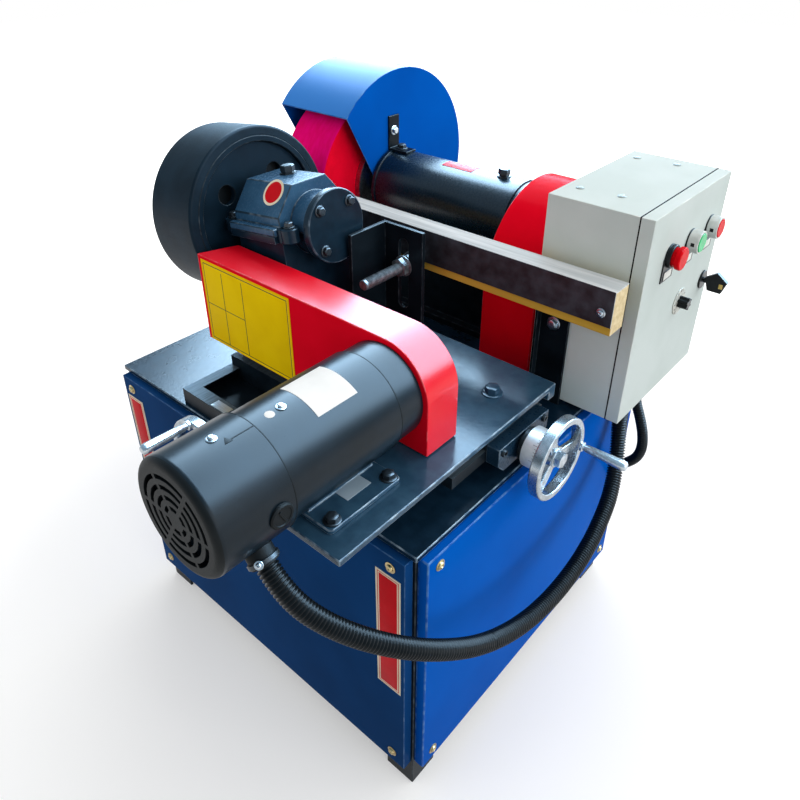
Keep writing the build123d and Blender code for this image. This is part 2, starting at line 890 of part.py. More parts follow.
# Spindle housing: thick tube between the hood and the arched guard.
spindle_y = corner_y + spindle_setback
spindle_z = deck_height + spindle_rise
arch_right = corner_x - arch_right_inset
arch_left = arch_right - arch_width
housing_left = arch_left - housing_length
with BuildPart() as spindle_housing:
    with BuildSketch(facing_right(housing_left)):
        with Locations((spindle_y, spindle_z)):
            Circle(housing_radius)
            Circle(shaft_radius + running_gap, mode=Mode.SUBTRACT)
    extrude(amount=housing_length)
keep(spindle_housing, "spindle_housing")

# Spindle cradle: cast pedestal hollowed to the housing.
cradle_left = (housing_left + arch_left - cradle_length) / 2
with BuildPart() as spindle_cradle:
    with BuildSketch(facing_right(cradle_left)):
        with BuildLine():
            Polyline(
                (spindle_y - cradle_width / 2, spindle_z - cradle_bite),
                (spindle_y + cradle_width / 2, spindle_z - cradle_bite),
                (spindle_y + cradle_width / 2, deck_height),
                (spindle_y - cradle_foot_width / 2, deck_height),
                (spindle_y - cradle_foot_width / 2, deck_height + cradle_foot),
                (spindle_y - cradle_width / 2, deck_height + cradle_foot),
                close=True,
            )
        make_face()
        with Locations((spindle_y, spindle_z)):
            Circle(housing_radius + seat_gap, mode=Mode.SUBTRACT)
    extrude(amount=cradle_length)
keep(spindle_cradle, "spindle_cradle")

# Spindle shaft: turned shaft with the two clamping flanges and the end nut.
hood_right = housing_left - bracket_sheet
wheel_right = hood_right - hood_side_room
wheel_left = wheel_right - wheel_width
shaft_left = wheel_left - flange_thickness - spindle_nut_length
with BuildPart() as spindle_shaft:
    with BuildSketch(facing_right(shaft_left)):
        with Locations((spindle_y, spindle_z)):
            Circle(shaft_radius - seat_gap)
    extrude(amount=housing_left - shaft_left)
    with BuildSketch(facing_right(housing_left)):
        with Locations((spindle_y, spindle_z)):
            Circle(shaft_radius)
    extrude(amount=housing_length)
    for flange_left in (wheel_left - flange_thickness, wheel_right):
        with BuildSketch(facing_right(flange_left)):
            with Locations((spindle_y, spindle_z)):
                Circle(flange_radius)
        extrude(amount=flange_thickness)
    with BuildSketch(facing_right(shaft_left)):
        with Locations((spindle_y, spindle_z)):
            RegularPolygon(shaft_radius + wheel_round, 6)
    extrude(amount=spindle_nut_length)
keep(spindle_shaft, "spindle_shaft")

# Abrasive wheel: packed abrasive cloth between the flanges.
with BuildPart() as abrasive_wheel:
    with BuildSketch(facing_right(wheel_left)):
        with Locations((spindle_y, spindle_z)):
            Circle(wheel_radius)
    extrude(amount=wheel_width)
    fillet(abrasive_wheel.edges().filter_by(GeomType.CIRCLE), radius=wheel_round)
    with BuildSketch(facing_right(wheel_left - overrun)):
        with Locations((spindle_y, spindle_z)):
            Circle(shaft_radius)
    extrude(amount=wheel_width + 2 * overrun, mode=Mode.SUBTRACT)
keep(abrasive_wheel, "abrasive_wheel")

# Spindle belt guard: sheet arch over the belt, upright in front and flush with the deck behind.
arch_front = corner_y + arch_front_setback
arch_middle = arch_front + arch_radius
arch_back = corner_y + cabinet_depth - arch_back_gap
arch_spring = deck_height + arch_spring_height
with BuildPart() as spindle_belt_guard:
    for inset, low, mode in ((0, 0, Mode.ADD), (arch_sheet, overrun, Mode.SUBTRACT)):
        radius = arch_radius - inset
        rear = arch_back - inset
        rear_z = arch_spring + (radius**2 - (rear - arch_middle) ** 2) ** 0.5
        with BuildSketch(facing_right(arch_left + inset)):
            with BuildLine():
                Polyline(
                    (rear, rear_z),
                    (rear, deck_height - low),
                    (arch_front + inset, deck_height - low),
                    (arch_front + inset, arch_spring),
                )
                RadiusArc((arch_front + inset, arch_spring), (rear, rear_z), radius)
            make_face()
        extrude(amount=arch_width - 2 * inset, mode=mode)
keep(spindle_belt_guard, "spindle_belt_guard")

# Wheel hood: rolled sheet between two cheeks, cut back in front for the pipe, open below.
hood_y = spindle_y + hood_shift
hood_z = spindle_z + hood_lift
hood_left = hood_right - hood_width
skirt_z = spindle_z - hood_skirt
mouth = radians(hood_mouth_angle)
mouth_y = hood_y + hood_radius * cos(mouth)
mouth_z = hood_z + hood_radius * sin(mouth)
mouth_foot_y = mouth_y + (mouth_z - skirt_z) / tan(radians(hood_mouth_slope))
skirt_back_y = hood_y + (hood_radius**2 - (hood_z - skirt_z) ** 2) ** 0.5
with BuildPart() as wheel_hood:
    with BuildSketch(facing_right(hood_left)):
        with BuildLine():
            Polyline((skirt_back_y, skirt_z), (mouth_foot_y, skirt_z), (mouth_y, mouth_z))
            ThreePointArc((mouth_y, mouth_z), (hood_y, hood_z + hood_radius), (skirt_back_y, skirt_z))
        make_face()
    extrude(amount=hood_width)
    inner_radius = hood_radius - hood_sheet
    with BuildSketch(facing_right(hood_left + hood_sheet)):
        with Locations((hood_y, hood_z)):
            Circle(inner_radius)
    extrude(amount=hood_width - 2 * hood_sheet, mode=Mode.SUBTRACT)
    with BuildSketch(facing_right(hood_left + hood_sheet)):
        with BuildLine():
            Polyline(
                (mouth_y, mouth_z),
                (mouth_foot_y, skirt_z),
                (mouth_foot_y - hood_skirt, skirt_z),
                (mouth_y - hood_skirt, mouth_z),
                close=True,
            )
        make_face()
    extrude(amount=hood_width - 2 * hood_sheet, mode=Mode.SUBTRACT)
    with BuildSketch(facing_right(hood_left - overrun)):
        with Locations((spindle_y, spindle_z)):
            Circle(hood_notch_radius)
        with Locations((spindle_y, spindle_z - hood_skirt)):
            Rectangle(2 * hood_notch_radius, 2 * hood_skirt)
    extrude(amount=hood_width + 2 * overrun, mode=Mode.SUBTRACT)
keep(wheel_hood, "wheel_hood")

# Hood bracket: small bent angle from the top of the housing to the hood's cheek.
housing_top = spindle_z + housing_radius + seat_gap
with BuildPart() as hood_bracket:
    slab(
        hood_right,
        hood_right + bracket_sheet,
        spindle_y - bracket_width / 2,
        spindle_y + bracket_width / 2,
        housing_top,
        housing_top + bracket_height,
    )
    slab(
        hood_right + bracket_sheet,
        hood_right + bracket_foot,
        spindle_y - bracket_width / 2,
        spindle_y + bracket_width / 2,
        housing_top,
        housing_top + bracket_sheet,
    )
keep(hood_bracket, "hood_bracket")

# Control box: folded sheet body, open to the right where the door closes it.
box_right = corner_x - box_right_inset
box_left = box_right - box_depth
box_front = corner_y + box_setback
box_back = box_front + box_width
box_low = deck_height + box_lift
box_top = box_low + box_height
with BuildPart() as control_box:
    slab(box_left, box_right, box_front, box_back, box_low, box_top)
    slab(
        box_left + box_sheet,
        box_right + overrun,
        box_front + box_sheet,
        box_back - box_sheet,
        box_low + box_sheet,
        box_top - box_sheet,
        mode=Mode.SUBTRACT,
    )
keep(control_box, "control_box")

# Box stand: upright angle from the deck to the front of the box.
stand_left = corner_x - stand_inset
with BuildPart() as box_stand:
    slab(
        stand_left,
        stand_left + stand_leg,
        box_front - stand_wall,
        box_front,
        deck_height,
        deck_height + stand_height,
    )
    slab(
        stand_left,
        stand_left + stand_wall,
        box_front - stand_flange,
        box_front - stand_wall,
        deck_height,
        deck_height + stand_height,
    )
keep(box_stand, "box_stand")

# Box door: folded tray, hollow inside, hinged at its front edge.
door_left = box_right + door_gap
door_face = door_left + door_thickness
with BuildPart() as box_door:
    slab(door_left, door_face, box_front, box_back, box_low, box_top)
    slab(
        door_left - overrun,
        door_face - box_sheet,
        box_front + box_sheet,
        box_back - box_sheet,
        box_low + box_sheet,
        box_top - box_sheet,
        mode=Mode.SUBTRACT,
    )
keep(box_door, "box_door")

# Legend plates: moulded plates under the button collars with a label field below.
button_z = box_low + button_height
button_ys = [box_front + button_first + i * button_pitch for i in range(3)]
collar_back = door_face + legend_thickness
with BuildPart() as legend_plates:
    for button_y in button_ys:
        with BuildSketch(facing_right(door_face)):
            with Locations((button_y, button_z)):
                Circle(collar_radius)
            with Locations((button_y, button_z - legend_drop / 2)):
                Rectangle(legend_width, legend_drop)
            with Locations((button_y, button_z)):
                Circle(cap_radius + cap_gap, mode=Mode.SUBTRACT)
        extrude(amount=legend_thickness)
keep(legend_plates, "legend_plates")

# Button collars: two long rings round the flush caps.
with BuildPart() as button_collars:
    for button_y in button_ys[1:]:
        with BuildSketch(facing_right(collar_back)):
            with Locations((button_y, button_z)):
                Circle(collar_radius)
                Circle(cap_radius + cap_gap, mode=Mode.SUBTRACT)
        extrude(amount=collar_length)
keep(button_collars, "button_collars")

# Halt collar: one short ring behind the mushroom head.
with BuildPart() as halt_collar:
    with BuildSketch(facing_right(collar_back)):
        with Locations((button_ys[0], button_z)):
            Circle(collar_radius)
            Circle(cap_radius + cap_gap, mode=Mode.SUBTRACT)
    extrude(amount=halt_collar_length)
keep(halt_collar, "halt_collar")

# Flush caps: two push caps, each on its own.
for name, button_y in zip(("start_button", "stop_button"), button_ys[1:]):
    with BuildPart() as cap:
        with BuildSketch(facing_right(door_face + cap_seat)):
            with Locations((button_y, button_z)):
                Circle(cap_radius)
        extrude(amount=cap_length)
        fillet(cap.faces().sort_by(Axis.X)[-1].edges(), radius=cap_round)
    keep(cap, name)

# Halt button: stem in the collar and a wide head that stands off it by its travel.
halt_head = collar_back + halt_collar_length + halt_head_gap
with BuildPart() as halt_button:
    with BuildSketch(facing_right(door_face + cap_seat)):
        with Locations((button_ys[0], button_z)):
            Circle(cap_radius)
    extrude(amount=halt_head - door_face - cap_seat)
    with BuildSketch(facing_right(halt_head)):
        with Locations((button_ys[0], button_z)):
            Circle(halt_head_radius)
    extrude(amount=halt_head_length)
    fillet(halt_button.faces().sort_by(Axis.X)[-1].edges(), radius=rim_round)
keep(halt_button, "halt_button")

# Dials: scale plate behind the knob and the lock's rosette.
knob_y = box_front + knob_place
knob_z = box_low + knob_height
lock_y = box_front + lock_place
lock_z = box_low + lock_height
with BuildPart() as door_dials:
    with BuildSketch(facing_right(door_face)):
        with Locations((knob_y, knob_z)):
            Circle(dial_radius)
    extrude(amount=dial_thickness)
    with BuildSketch(facing_right(door_face)):
        with Locations((lock_y, lock_z)):
            Circle(lock_radius)
    extrude(amount=lock_length)
keep(door_dials, "door_dials")

# Speed knob: fluted knob on the scale plate.
with BuildPart() as speed_knob:
    with BuildSketch(facing_right(door_face + dial_thickness + knob_gap)):
        with Locations((knob_y, knob_z)):
            Circle(knob_radius)
            with PolarLocations(knob_radius, knob_flutes):
                Circle(knob_flute, mode=Mode.SUBTRACT)
    extrude(amount=knob_length)
keep(speed_knob, "speed_knob")

# Key: stem and moulded bow, turned in the lock.
with BuildPart() as door_key:
    with BuildSketch(facing_right(door_face + lock_length + knob_gap)):
        with Locations((lock_y, lock_z)):
            Circle(key_stem_radius)
    extrude(amount=key_stem_length)
    bow_x = door_face + lock_length + knob_gap + key_stem_length + key_bow_radius - key_stem_radius
    with BuildSketch(facing_front(lock_y + key_bow_thickness / 2)):
        with Locations((bow_x, lock_z)):
            RegularPolygon(key_bow_radius, key_bow_sides, rotation=key_bow_turn)
    extrude(amount=key_bow_thickness)
keep(door_key, "door_key")

# Handwheels: cast rim, three spokes and hub, with a turned handle near the rim.
rim_circle = handwheel_radius - rim_depth / 2


def handwheel(name, hub_plane, handle_turn, handle_length):
    """A handwheel whose hub starts on the plane, and its handle along the plane's normal."""
    spoke_plane = hub_plane.offset(hub_length - spoke_thickness / 2)
    rim_plane = hub_plane.offset(hub_length + rim_lead)
    with BuildPart() as wheel:
        with BuildSketch(hub_plane):
            Circle(hub_radius)
        extrude(amount=hub_length)
        with BuildSketch(Plane(origin=rim_plane.origin, x_dir=rim_plane.x_dir, z_dir=-rim_plane.y_dir)):
            with Locations((rim_circle, 0)):
                RectangleRounded(rim_depth, rim_width, rim_round)
        revolve(axis=Axis(rim_plane.origin, rim_plane.z_dir))
        for spoke in range(spoke_count):
            turn = radians(handle_turn + spoke * 360 / spoke_count)
            way = spoke_plane.x_dir * cos(turn) + spoke_plane.y_dir * sin(turn)
            with BuildSketch(Plane(origin=spoke_plane.origin, x_dir=spoke_plane.z_dir, z_dir=way)):
                RectangleRounded(spoke_thickness, spoke_width, rim_round)
            extrude(amount=rim_circle)
        with BuildSketch(hub_plane.offset(-overrun)):
            Circle(screw_radius + running_gap)
        extrude(amount=hub_length + 2 * overrun, mode=Mode.SUBTRACT)
    keep(wheel, f"{name}_handwheel")
    turn = radians(handle_turn)
    way = rim_plane.x_dir * cos(turn) + rim_plane.y_dir * sin(turn)
    foot = rim_plane.origin + way * rim_circle + rim_plane.z_dir * (rim_width / 2 + seat_gap)
    handle_plane = Plane(origin=foot, z_dir=rim_plane.z_dir)
    reach = handle_length - rim_lead - rim_width / 2 - seat_gap
    with BuildPart() as handle:
        with BuildSketch(handle_plane):
            Circle(handle_radius)
        with BuildSketch(handle_plane.offset(reach)):
            Circle(handle_tip_radius)
        loft()
    keep(handle, f"{name}_handle")


# Side handwheel: turns the screw of the upper slide.
collar_right = block_right + dial_collar_length + screw_neck
side_centre = Plane(origin=(collar_right, ridge_y, side_screw_z), x_dir=(0, 1, 0), z_dir=(1, 0, 0))
handwheel("side", side_centre, side_handle_turn, side_handle_length)

# Side screw: shaft through the block, with the graduated collar.
with BuildPart() as side_screw:
    with BuildSketch(facing_right(saddle_right - side_screw_reach)):
        with Locations((ridge_y, side_screw_z)):
            Circle(screw_radius)
    extrude(amount=side_screw_reach + block_thickness + screw_neck + dial_collar_length + hub_length)
    with BuildSketch(facing_right(block_right + screw_neck)):
        with Locations((ridge_y, side_screw_z)):
            Circle(back_collar_radius)
    extrude(amount=back_collar_length)
    with BuildSketch(facing_right(block_right + screw_neck + back_collar_length)):
        with Locations((ridge_y, side_screw_z)):
            Circle(dial_collar_radius)
    extrude(amount=dial_collar_length - back_collar_length)
keep(side_screw, "side_screw")

# Front handwheel: turns the screw of the lower slide.
front_hub_y = corner_y - front_neck
front_centre = Plane(origin=(base_middle, front_hub_y, front_screw_z), x_dir=(1, 0, 0), z_dir=(0, -1, 0))
handwheel("front", front_centre, front_handle_turn, front_handle_length)

# Front screw: shaft through the trough's front wall and the saddle's tongue.
with BuildPart() as front_screw:
    with BuildSketch(facing_front(saddle_back)):
        with Locations((base_middle, front_screw_z)):
            Circle(screw_radius)
    extrude(amount=saddle_back - front_hub_y + hub_length)
    with BuildSketch(facing_front(front_hub_y + front_collar_length + screw_neck)):
        with Locations((base_middle, front_screw_z)):
            Circle(dial_collar_radius)
    extrude(amount=front_collar_length)
keep(front_screw, "front_screw")


def from_corner(point):
    """A point measured from the cabinet's front right corner, in the part's frame."""
    return Vector(corner_x + point[0], corner_y + point[1], point[2])


# Motor gland: moulded bush that leads the hose out of the fan cover, at a slant.
gland_way = Vector(cos(radians(gland_angle)), 0, sin(radians(gland_angle)))
gland_y = corner_y + gland_setback
motor_axis_point = Vector(motor_x, gland_y, motor_z)
gland_tip = motor_axis_point + gland_way * (fan_cover_radius + gland_length)
with BuildPart() as motor_gland:
    with BuildSketch(Plane(origin=gland_tip, z_dir=-gland_way)):
        Circle(motor_hose_radius + gland_wall)
    extrude(amount=gland_length + gland_bite)
    with BuildSketch(facing_front(gland_y + fan_cover_radius)):
        with Locations((motor_x, motor_z)):
            Circle(fan_cover_radius + seat_gap)
    extrude(amount=2 * fan_cover_radius, mode=Mode.SUBTRACT)
keep(motor_gland, "motor_gland")

# Hose glands: two bushes under the control box and a slanted one on the right panel.
box_gland_x = corner_x - box_gland_inset
gland_low = box_low - gland_length
panel_face = corner_x + panel_fold
inlet_way = Vector(cos(radians(inlet_slope)), 0, sin(radians(inlet_slope)))
inlet_tip = from_corner((inlet_reach, panel_gland_setback, inlet_height))
with BuildPart() as hose_glands:
    with BuildSketch(Plane(origin=inlet_tip, z_dir=-inlet_way)):
        Circle(panel_hose_radius + gland_wall)
    extrude(amount=2 * inlet_length)
    slab(
        panel_face - 2 * inlet_length,
        panel_face,
        inlet_tip.Y - inlet_length,
        inlet_tip.Y + inlet_length,
        inlet_height - 2 * inlet_length,
        inlet_height + inlet_length,
        mode=Mode.SUBTRACT,
    )
    with BuildSketch(Plane.XY.offset(gland_low)):
        with Locations((box_gland_x, corner_y + box_gland_setback)):
            Circle(motor_hose_radius + gland_wall)
        with Locations((box_gland_x, corner_y + panel_gland_setback)):
            Circle(panel_hose_radius + gland_wall)
    extrude(amount=gland_length)
keep(hose_glands, "hose_glands")


def hose(name, points, radius):
    """A tube along a route of straight runs, each bend as wide as its runs allow."""
    radii = []
    for before, here, after in zip(points, points[1:], points[2:]):
        first = here - before
        second = after - here
        turn = radians(first.get_angle(second))
        radii.append(hose_fill_share * min(first.length, second.length) / tan(turn / 2))
    with BuildPart() as tube:
        with BuildLine() as route:
            FilletPolyline(*points, radius=radii)
        with BuildSketch(Plane(origin=points[0], z_dir=points[1] - points[0])):
            Circle(radius)
        sweep(path=route.wires()[0])
    length = route.wires()[0].length
    share = tube.part.volume / (pi * radius**2 * length)
    print(name, "bends", [round(value) for value in radii], "length", round(length), "volume share", round(share, 4))
    keep(tube, name)


# Motor hose: corrugated conduit from the feed motor, hanging beside the cabinet, to the box.
hose_end = Vector(box_gland_x, corner_y + box_gland_setback, gland_low)
box_lead = Vector(0, 0, box_hose_lead)
motor_points = [gland_tip, gland_tip + gland_way * motor_hose_lead]
motor_points += [from_corner(point) for point in motor_hose_route]
motor_points += [hose_end - box_lead, hose_end]
hose("motor_hose", motor_points, motor_hose_radius)

# Panel hose: short conduit from the box into the cabinet's right panel.
panel_start = Vector(box_gland_x, corner_y + panel_gland_setback, gland_low)
panel_points = [panel_start, panel_start - box_lead]
panel_points += [from_corner(point) for point in panel_hose_route]
panel_points += [inlet_tip]
hose("panel_hose", panel_points, panel_hose_radius)
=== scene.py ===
import json
from math import cos, pi, radians, sin

import bpy
from mathutils import Matrix, Vector

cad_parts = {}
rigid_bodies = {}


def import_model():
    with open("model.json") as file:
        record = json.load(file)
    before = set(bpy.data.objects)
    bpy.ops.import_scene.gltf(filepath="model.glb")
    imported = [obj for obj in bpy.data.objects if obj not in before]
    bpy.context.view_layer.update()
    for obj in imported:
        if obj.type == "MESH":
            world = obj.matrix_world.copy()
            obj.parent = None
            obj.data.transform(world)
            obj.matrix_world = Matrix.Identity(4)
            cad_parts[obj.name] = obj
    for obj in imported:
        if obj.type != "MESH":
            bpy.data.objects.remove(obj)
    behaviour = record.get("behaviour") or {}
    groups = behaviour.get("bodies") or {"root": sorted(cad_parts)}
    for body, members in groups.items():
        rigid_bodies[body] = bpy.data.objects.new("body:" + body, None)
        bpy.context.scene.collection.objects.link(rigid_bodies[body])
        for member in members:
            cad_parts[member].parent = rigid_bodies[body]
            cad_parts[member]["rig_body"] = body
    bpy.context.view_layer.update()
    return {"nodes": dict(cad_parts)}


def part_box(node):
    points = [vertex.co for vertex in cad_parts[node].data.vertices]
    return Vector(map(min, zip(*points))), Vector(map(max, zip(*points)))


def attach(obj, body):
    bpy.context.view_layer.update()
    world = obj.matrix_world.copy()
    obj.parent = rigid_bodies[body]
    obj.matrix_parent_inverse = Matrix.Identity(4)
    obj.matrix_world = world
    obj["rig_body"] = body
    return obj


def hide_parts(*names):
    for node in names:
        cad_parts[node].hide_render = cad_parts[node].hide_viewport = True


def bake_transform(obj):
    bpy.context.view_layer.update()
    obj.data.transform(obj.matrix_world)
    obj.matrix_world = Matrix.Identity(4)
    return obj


# Pipe polishing machine: a leaning rubber feed wheel on a cross slide presses a pipe against a
# hooded abrasive wheel, on a sheet-metal cabinet with a control box.
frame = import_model()

# Camera: above the machine's right front corner, looking down on the deck.
# The small shift keeps the picture's own framing.
look_down, look_left = 31.17, 41.06
eye = bpy.data.objects.new("photo_camera", bpy.data.cameras.new("photo_camera"))
eye.location = (0.6216, -0.6847, 1.1149)
eye.rotation_euler = (radians(90 - look_down), 0, radians(look_left))
eye.data.sensor_width = 36
eye.data.lens = 32.67
eye.data.shift_y = -0.075
bpy.context.scene.collection.objects.link(eye)
bpy.context.scene.camera = eye
bpy.context.scene.view_settings.view_transform = "Standard"


# Studio: a pale floor under an open sky, wide soft light high at the back, and less from the right and front.
# Gloss paint shows the back light as the pale band along its upward faces.
def linear(code):
    """A colour written as sRGB hex, as the linear values that a shader takes."""
    parts = [int(code[i : i + 2], 16) / 255 for i in (1, 3, 5)]
    return [v / 12.92 if v <= 0.04045 else ((v + 0.055) / 1.055) ** 2.4 for v in parts] + [1.0]


def node(tree, kind, sockets=None, **settings):
    """Add one shader node: settings are its options, sockets its values or links."""
    new = tree.nodes.new("ShaderNode" + kind)
    for name, value in settings.items():
        setattr(new, name, value)
    for name, value in (sockets or {}).items():
        if isinstance(value, bpy.types.NodeSocket):
            tree.links.new(value, new.inputs[name])
        else:
            new.inputs[name].default_value = value
    return new


def seen_ray(tree):
    """1 for what the camera, a mirror or glass looks at, and 0 for light between surfaces."""
    path = node(tree, "LightPath").outputs
    direct = node(tree, "Math", {0: path["Is Camera Ray"], 1: path["Is Glossy Ray"]}, operation="MAXIMUM")
    either = {0: direct.outputs[0], 1: path["Is Transmission Ray"]}
    return node(tree, "Math", either, operation="MAXIMUM").outputs[0]


# Open sky: white to the camera, pale blue where gloss paint mirrors it, and half as strong as light.
sky = bpy.data.worlds.new("open_sky")
sky.use_nodes = True
bpy.context.scene.world = sky
sky_tree = sky.node_tree
background = sky_tree.nodes["Background"].inputs
level = node(sky_tree, "MapRange", {"Value": seen_ray(sky_tree), "To Min": 0.5, "To Max": 1.0})
glossy = node(sky_tree, "LightPath").outputs["Is Glossy Ray"]
hue = node(sky_tree, "Mix", {0: glossy, 6: linear("#ffffff"), 7: linear("#bcd9ee")}, data_type="RGBA")
sky_tree.links.new(hue.outputs[2], background["Color"])
sky_tree.links.new(level.outputs[0], background["Strength"])

# Painted floor: white to the eye, a mid grey to light that bounces, so that it keeps the shadow.
# It fades into the white sky two metres from the machine.
bpy.ops.object.select_all(action="DESELECT")
bpy.ops.mesh.primitive_plane_add(size=16, location=(0, 0, -0.0005))
floor = bpy.context.object
floor.name = "floor"
floor_paint = bpy.data.materials.new("pale_floor_paint")
floor_paint.use_nodes = True
tree = floor_paint.node_tree
shader = tree.nodes["Principled BSDF"]
seen = seen_ray(tree)
shade = node(tree, "Mix", {0: seen, 6: linear("#8c8e8f"), 7: linear("#dcdddd")}, data_type="RGBA")
place = node(tree, "TexCoord").outputs["Object"]
reach = node(tree, "VectorMath", {0: place}, operation="LENGTH").outputs["Value"]
fade_out = {"Value": reach, "From Min": 0.7, "From Max": 2.2, "To Min": 0.3, "To Max": 1.0}
fade = node(tree, "MapRange", fade_out)
glow = node(tree, "Math", {0: seen, 1: fade.outputs[0]}, operation="MULTIPLY")
tree.links.new(shade.outputs[2], shader.inputs["Base Color"])
tree.links.new(glow.outputs[0], shader.inputs["Emission Strength"])
shader.inputs["Emission Color"].default_value = linear("#ffffff")
shader.inputs["Roughness"].default_value = 1.0
shader.inputs["Specular IOR Level"].default_value = 0.0
floor.data.materials.append(floor_paint)

# The sky at the back is two lamps: one lights the colours at a plain level, the other, just before it,
# is seen only in gloss, where it draws the pale blue bands along the top of each round piece.
lamp_target = Vector((0, 0, 0.65))
for name, place, size, radiance, tint, colours, gloss in (
    ("back_sky", (0, 2.0, 2.6), (7.0, 3.6), 1.25, "#ffffff", True, False),
    ("back_sky_gloss", (0, 1.93, 2.53), (7.0, 3.6), 20.0, "#bbe1ff", False, True),
    ("right_window", (3.2, -0.1, 1.6), (2.6, 2.4), 2.2, "#ffffff", True, True),
    ("front_fill", (-1.6, -2.0, 1.3), (2.4, 2.0), 0.85, "#ffffff", True, False),
):
    lamp = bpy.data.lights.new(name, "AREA")
    lamp.shape = "RECTANGLE"
    lamp.size, lamp.size_y = size
    lamp.energy = 4 * size[0] * size[1] * radiance
    lamp.color = linear(tint)[:3]
    holder = bpy.data.objects.new(name, lamp)
    holder.location = place
    holder.rotation_euler = (lamp_target - Vector(place)).to_track_quat("-Z", "Y").to_euler()
    holder.visible_camera = False
    holder.visible_diffuse = colours
    holder.visible_glossy = gloss
    bpy.context.scene.collection.objects.link(holder)


# Hoses: black corrugated nylon conduit, pushed into moulded glands at both ends.
# The long one hangs from the feed motor to the control box and follows the slides.
def spot(x, y, z):
    """A place in millimetres from the foot of the cabinet's front right corner, in the frame's metres."""
    return Vector((255 + x, -236 + y, z)) / 1000


def surface(
    name, colour, shade, patch, grain, depth, rough,
    metal=0.0, ior=1.5, stretch=(1, 1, 1), cells=False, bare=(0.36, 0.64),
):
    """A finish: two colours in patches and a grain that raises and roughens it, sized in millimetres."""
    material = bpy.data.materials.new(name)
    material.use_nodes = True
    tree = material.node_tree
    shader = tree.nodes["Principled BSDF"]
    place = node(tree, "TexCoord").outputs["Object"]
    place = node(tree, "Mapping", {"Vector": place, "Scale": stretch}).outputs[0]
    patches = node(tree, "TexNoise", {"Vector": place, "Scale": 1000 / patch, "Detail": 4.0}).outputs[0]
    share = node(tree, "MapRange", {"Value": patches, "From Min": bare[0], "From Max": bare[1]}).outputs[0]
    tint = node(tree, "Mix", {0: share, 6: linear(colour), 7: linear(shade)}, data_type="RGBA").outputs[2]
    fine = {"Vector": place, "Scale": 1000 / grain}
    if cells:
        relief = node(tree, "TexVoronoi", fine, feature="SMOOTH_F1").outputs[0]
    else:
        relief = node(tree, "TexNoise", fine | {"Detail": 3.0}).outputs[0]
    duller = {"Value": relief, "To Min": rough * 0.8, "To Max": rough * 1.25}
    gloss = node(tree, "MapRange", duller).outputs[0]
    bump = node(tree, "Bump", {"Height": relief, "Strength": 1.0, "Distance": depth / 1000}).outputs[0]
    tree.links.new(tint, shader.inputs["Base Color"])
    tree.links.new(gloss, shader.inputs["Roughness"])
    tree.links.new(bump, shader.inputs["Normal"])
    shader.inputs["Metallic"].default_value = metal
    shader.inputs["IOR"].default_value = ior
    return material


def spline_line(points):
    """The smooth line that a spline with these control points draws, as a list of points."""
    curve = bpy.data.curves.new("route", "CURVE")
    curve.dimensions = "3D"
    line = curve.splines.new("NURBS")
    line.points.add(len(points) - 1)
    for knot, place in zip(line.points, points):
        knot.co = (*place, 1)
    line.order_u = 3
    line.use_endpoint_u = True
    line.resolution_u = 24
    holder = bpy.data.objects.new("route", curve)
    bpy.context.scene.collection.objects.link(holder)
    mesh = bpy.data.meshes.new_from_object(holder)
    found = [v.co.copy() for v in mesh.vertices]
    bpy.data.objects.remove(holder)
    bpy.data.meshes.remove(mesh)
    return found


def walk(line, step):
    """Points a step apart along a line."""
    found = [line[0]]
    left = step
    for start, end in zip(line, line[1:]):
        run = (end - start).length
        gone = left
        while gone <= run:
            found.append(start.lerp(end, gone / run))
            gone += step
        left = gone - run
    return found


def ribbed_tube(name, line, radius, sides=18):
    """A closed tube along the line, its radius stepping out and in as conduit does."""
    vertices, faces = [], []
    along = (line[1] - line[0]).normalized()
    across = along.orthogonal().normalized()
    for i, place in enumerate(line):
        ahead = (line[min(i + 1, len(line) - 1)] - line[max(i - 1, 0)]).normalized()
        across = along.rotation_difference(ahead) @ across
        along = ahead
        girth = radius * rib_shares[i % len(rib_shares)]
        for k in range(sides):
            turn = 2 * pi * k / sides
            vertices.append(place + girth * (cos(turn) * across + sin(turn) * along.cross(across)))
    for i in range(len(line) - 1):
        for k in range(sides):
            a, b = i * sides + k, i * sides + (k + 1) % sides
            faces.append((a, b, b + sides, a + sides))
    faces.append(tuple(reversed(range(sides))))
    faces.append(tuple(range(len(vertices) - sides, len(vertices))))
    mesh = bpy.data.meshes.new(name)
    mesh.from_pydata(vertices, [], faces)
    mesh.polygons.foreach_set("use_smooth", [True] * len(mesh.polygons))
    piece = bpy.data.objects.new(name, mesh)
    bpy.context.scene.collection.objects.link(piece)
    piece.data.materials.append(conduit_nylon)
    return piece


# Moulded polyamide: black, a dull sheen on each ring.
conduit_nylon = surface(
    "black_polyamide", "#0a0f12", "#12181c",
    patch=30, grain=2.0, depth=0.04, rough=0.3, ior=1.21,
)
# A rib is two rings wide and stands between two narrower ones.
rib_step = 0.00107
rib_shares = (1.0, 1.0, 0.8, 0.8)
motor_x, motor_z = -103, 631.4
gland_lean = radians(-49)
gland_way = Vector((cos(gland_lean), 0, sin(gland_lean))) / 1000
gland_foot = spot(motor_x, -167, motor_z)
motor_tip = gland_foot + gland_way * 81
motor_route = [motor_tip, motor_tip + gland_way * 38]
motor_route += [
    spot(10, -140, 498), spot(45, -94, 454), spot(68, -38, 409), spot(82, 32, 360), spot(88, 115, 323),
    spot(88, 203, 306), spot(83, 290, 310), spot(71, 366, 330), spot(60, 403, 350), spot(48, 430, 377),
    spot(37, 448, 409), spot(30, 456, 443), spot(30, 456, 473),
]
motor_line = walk(spline_line(motor_route), rib_step)
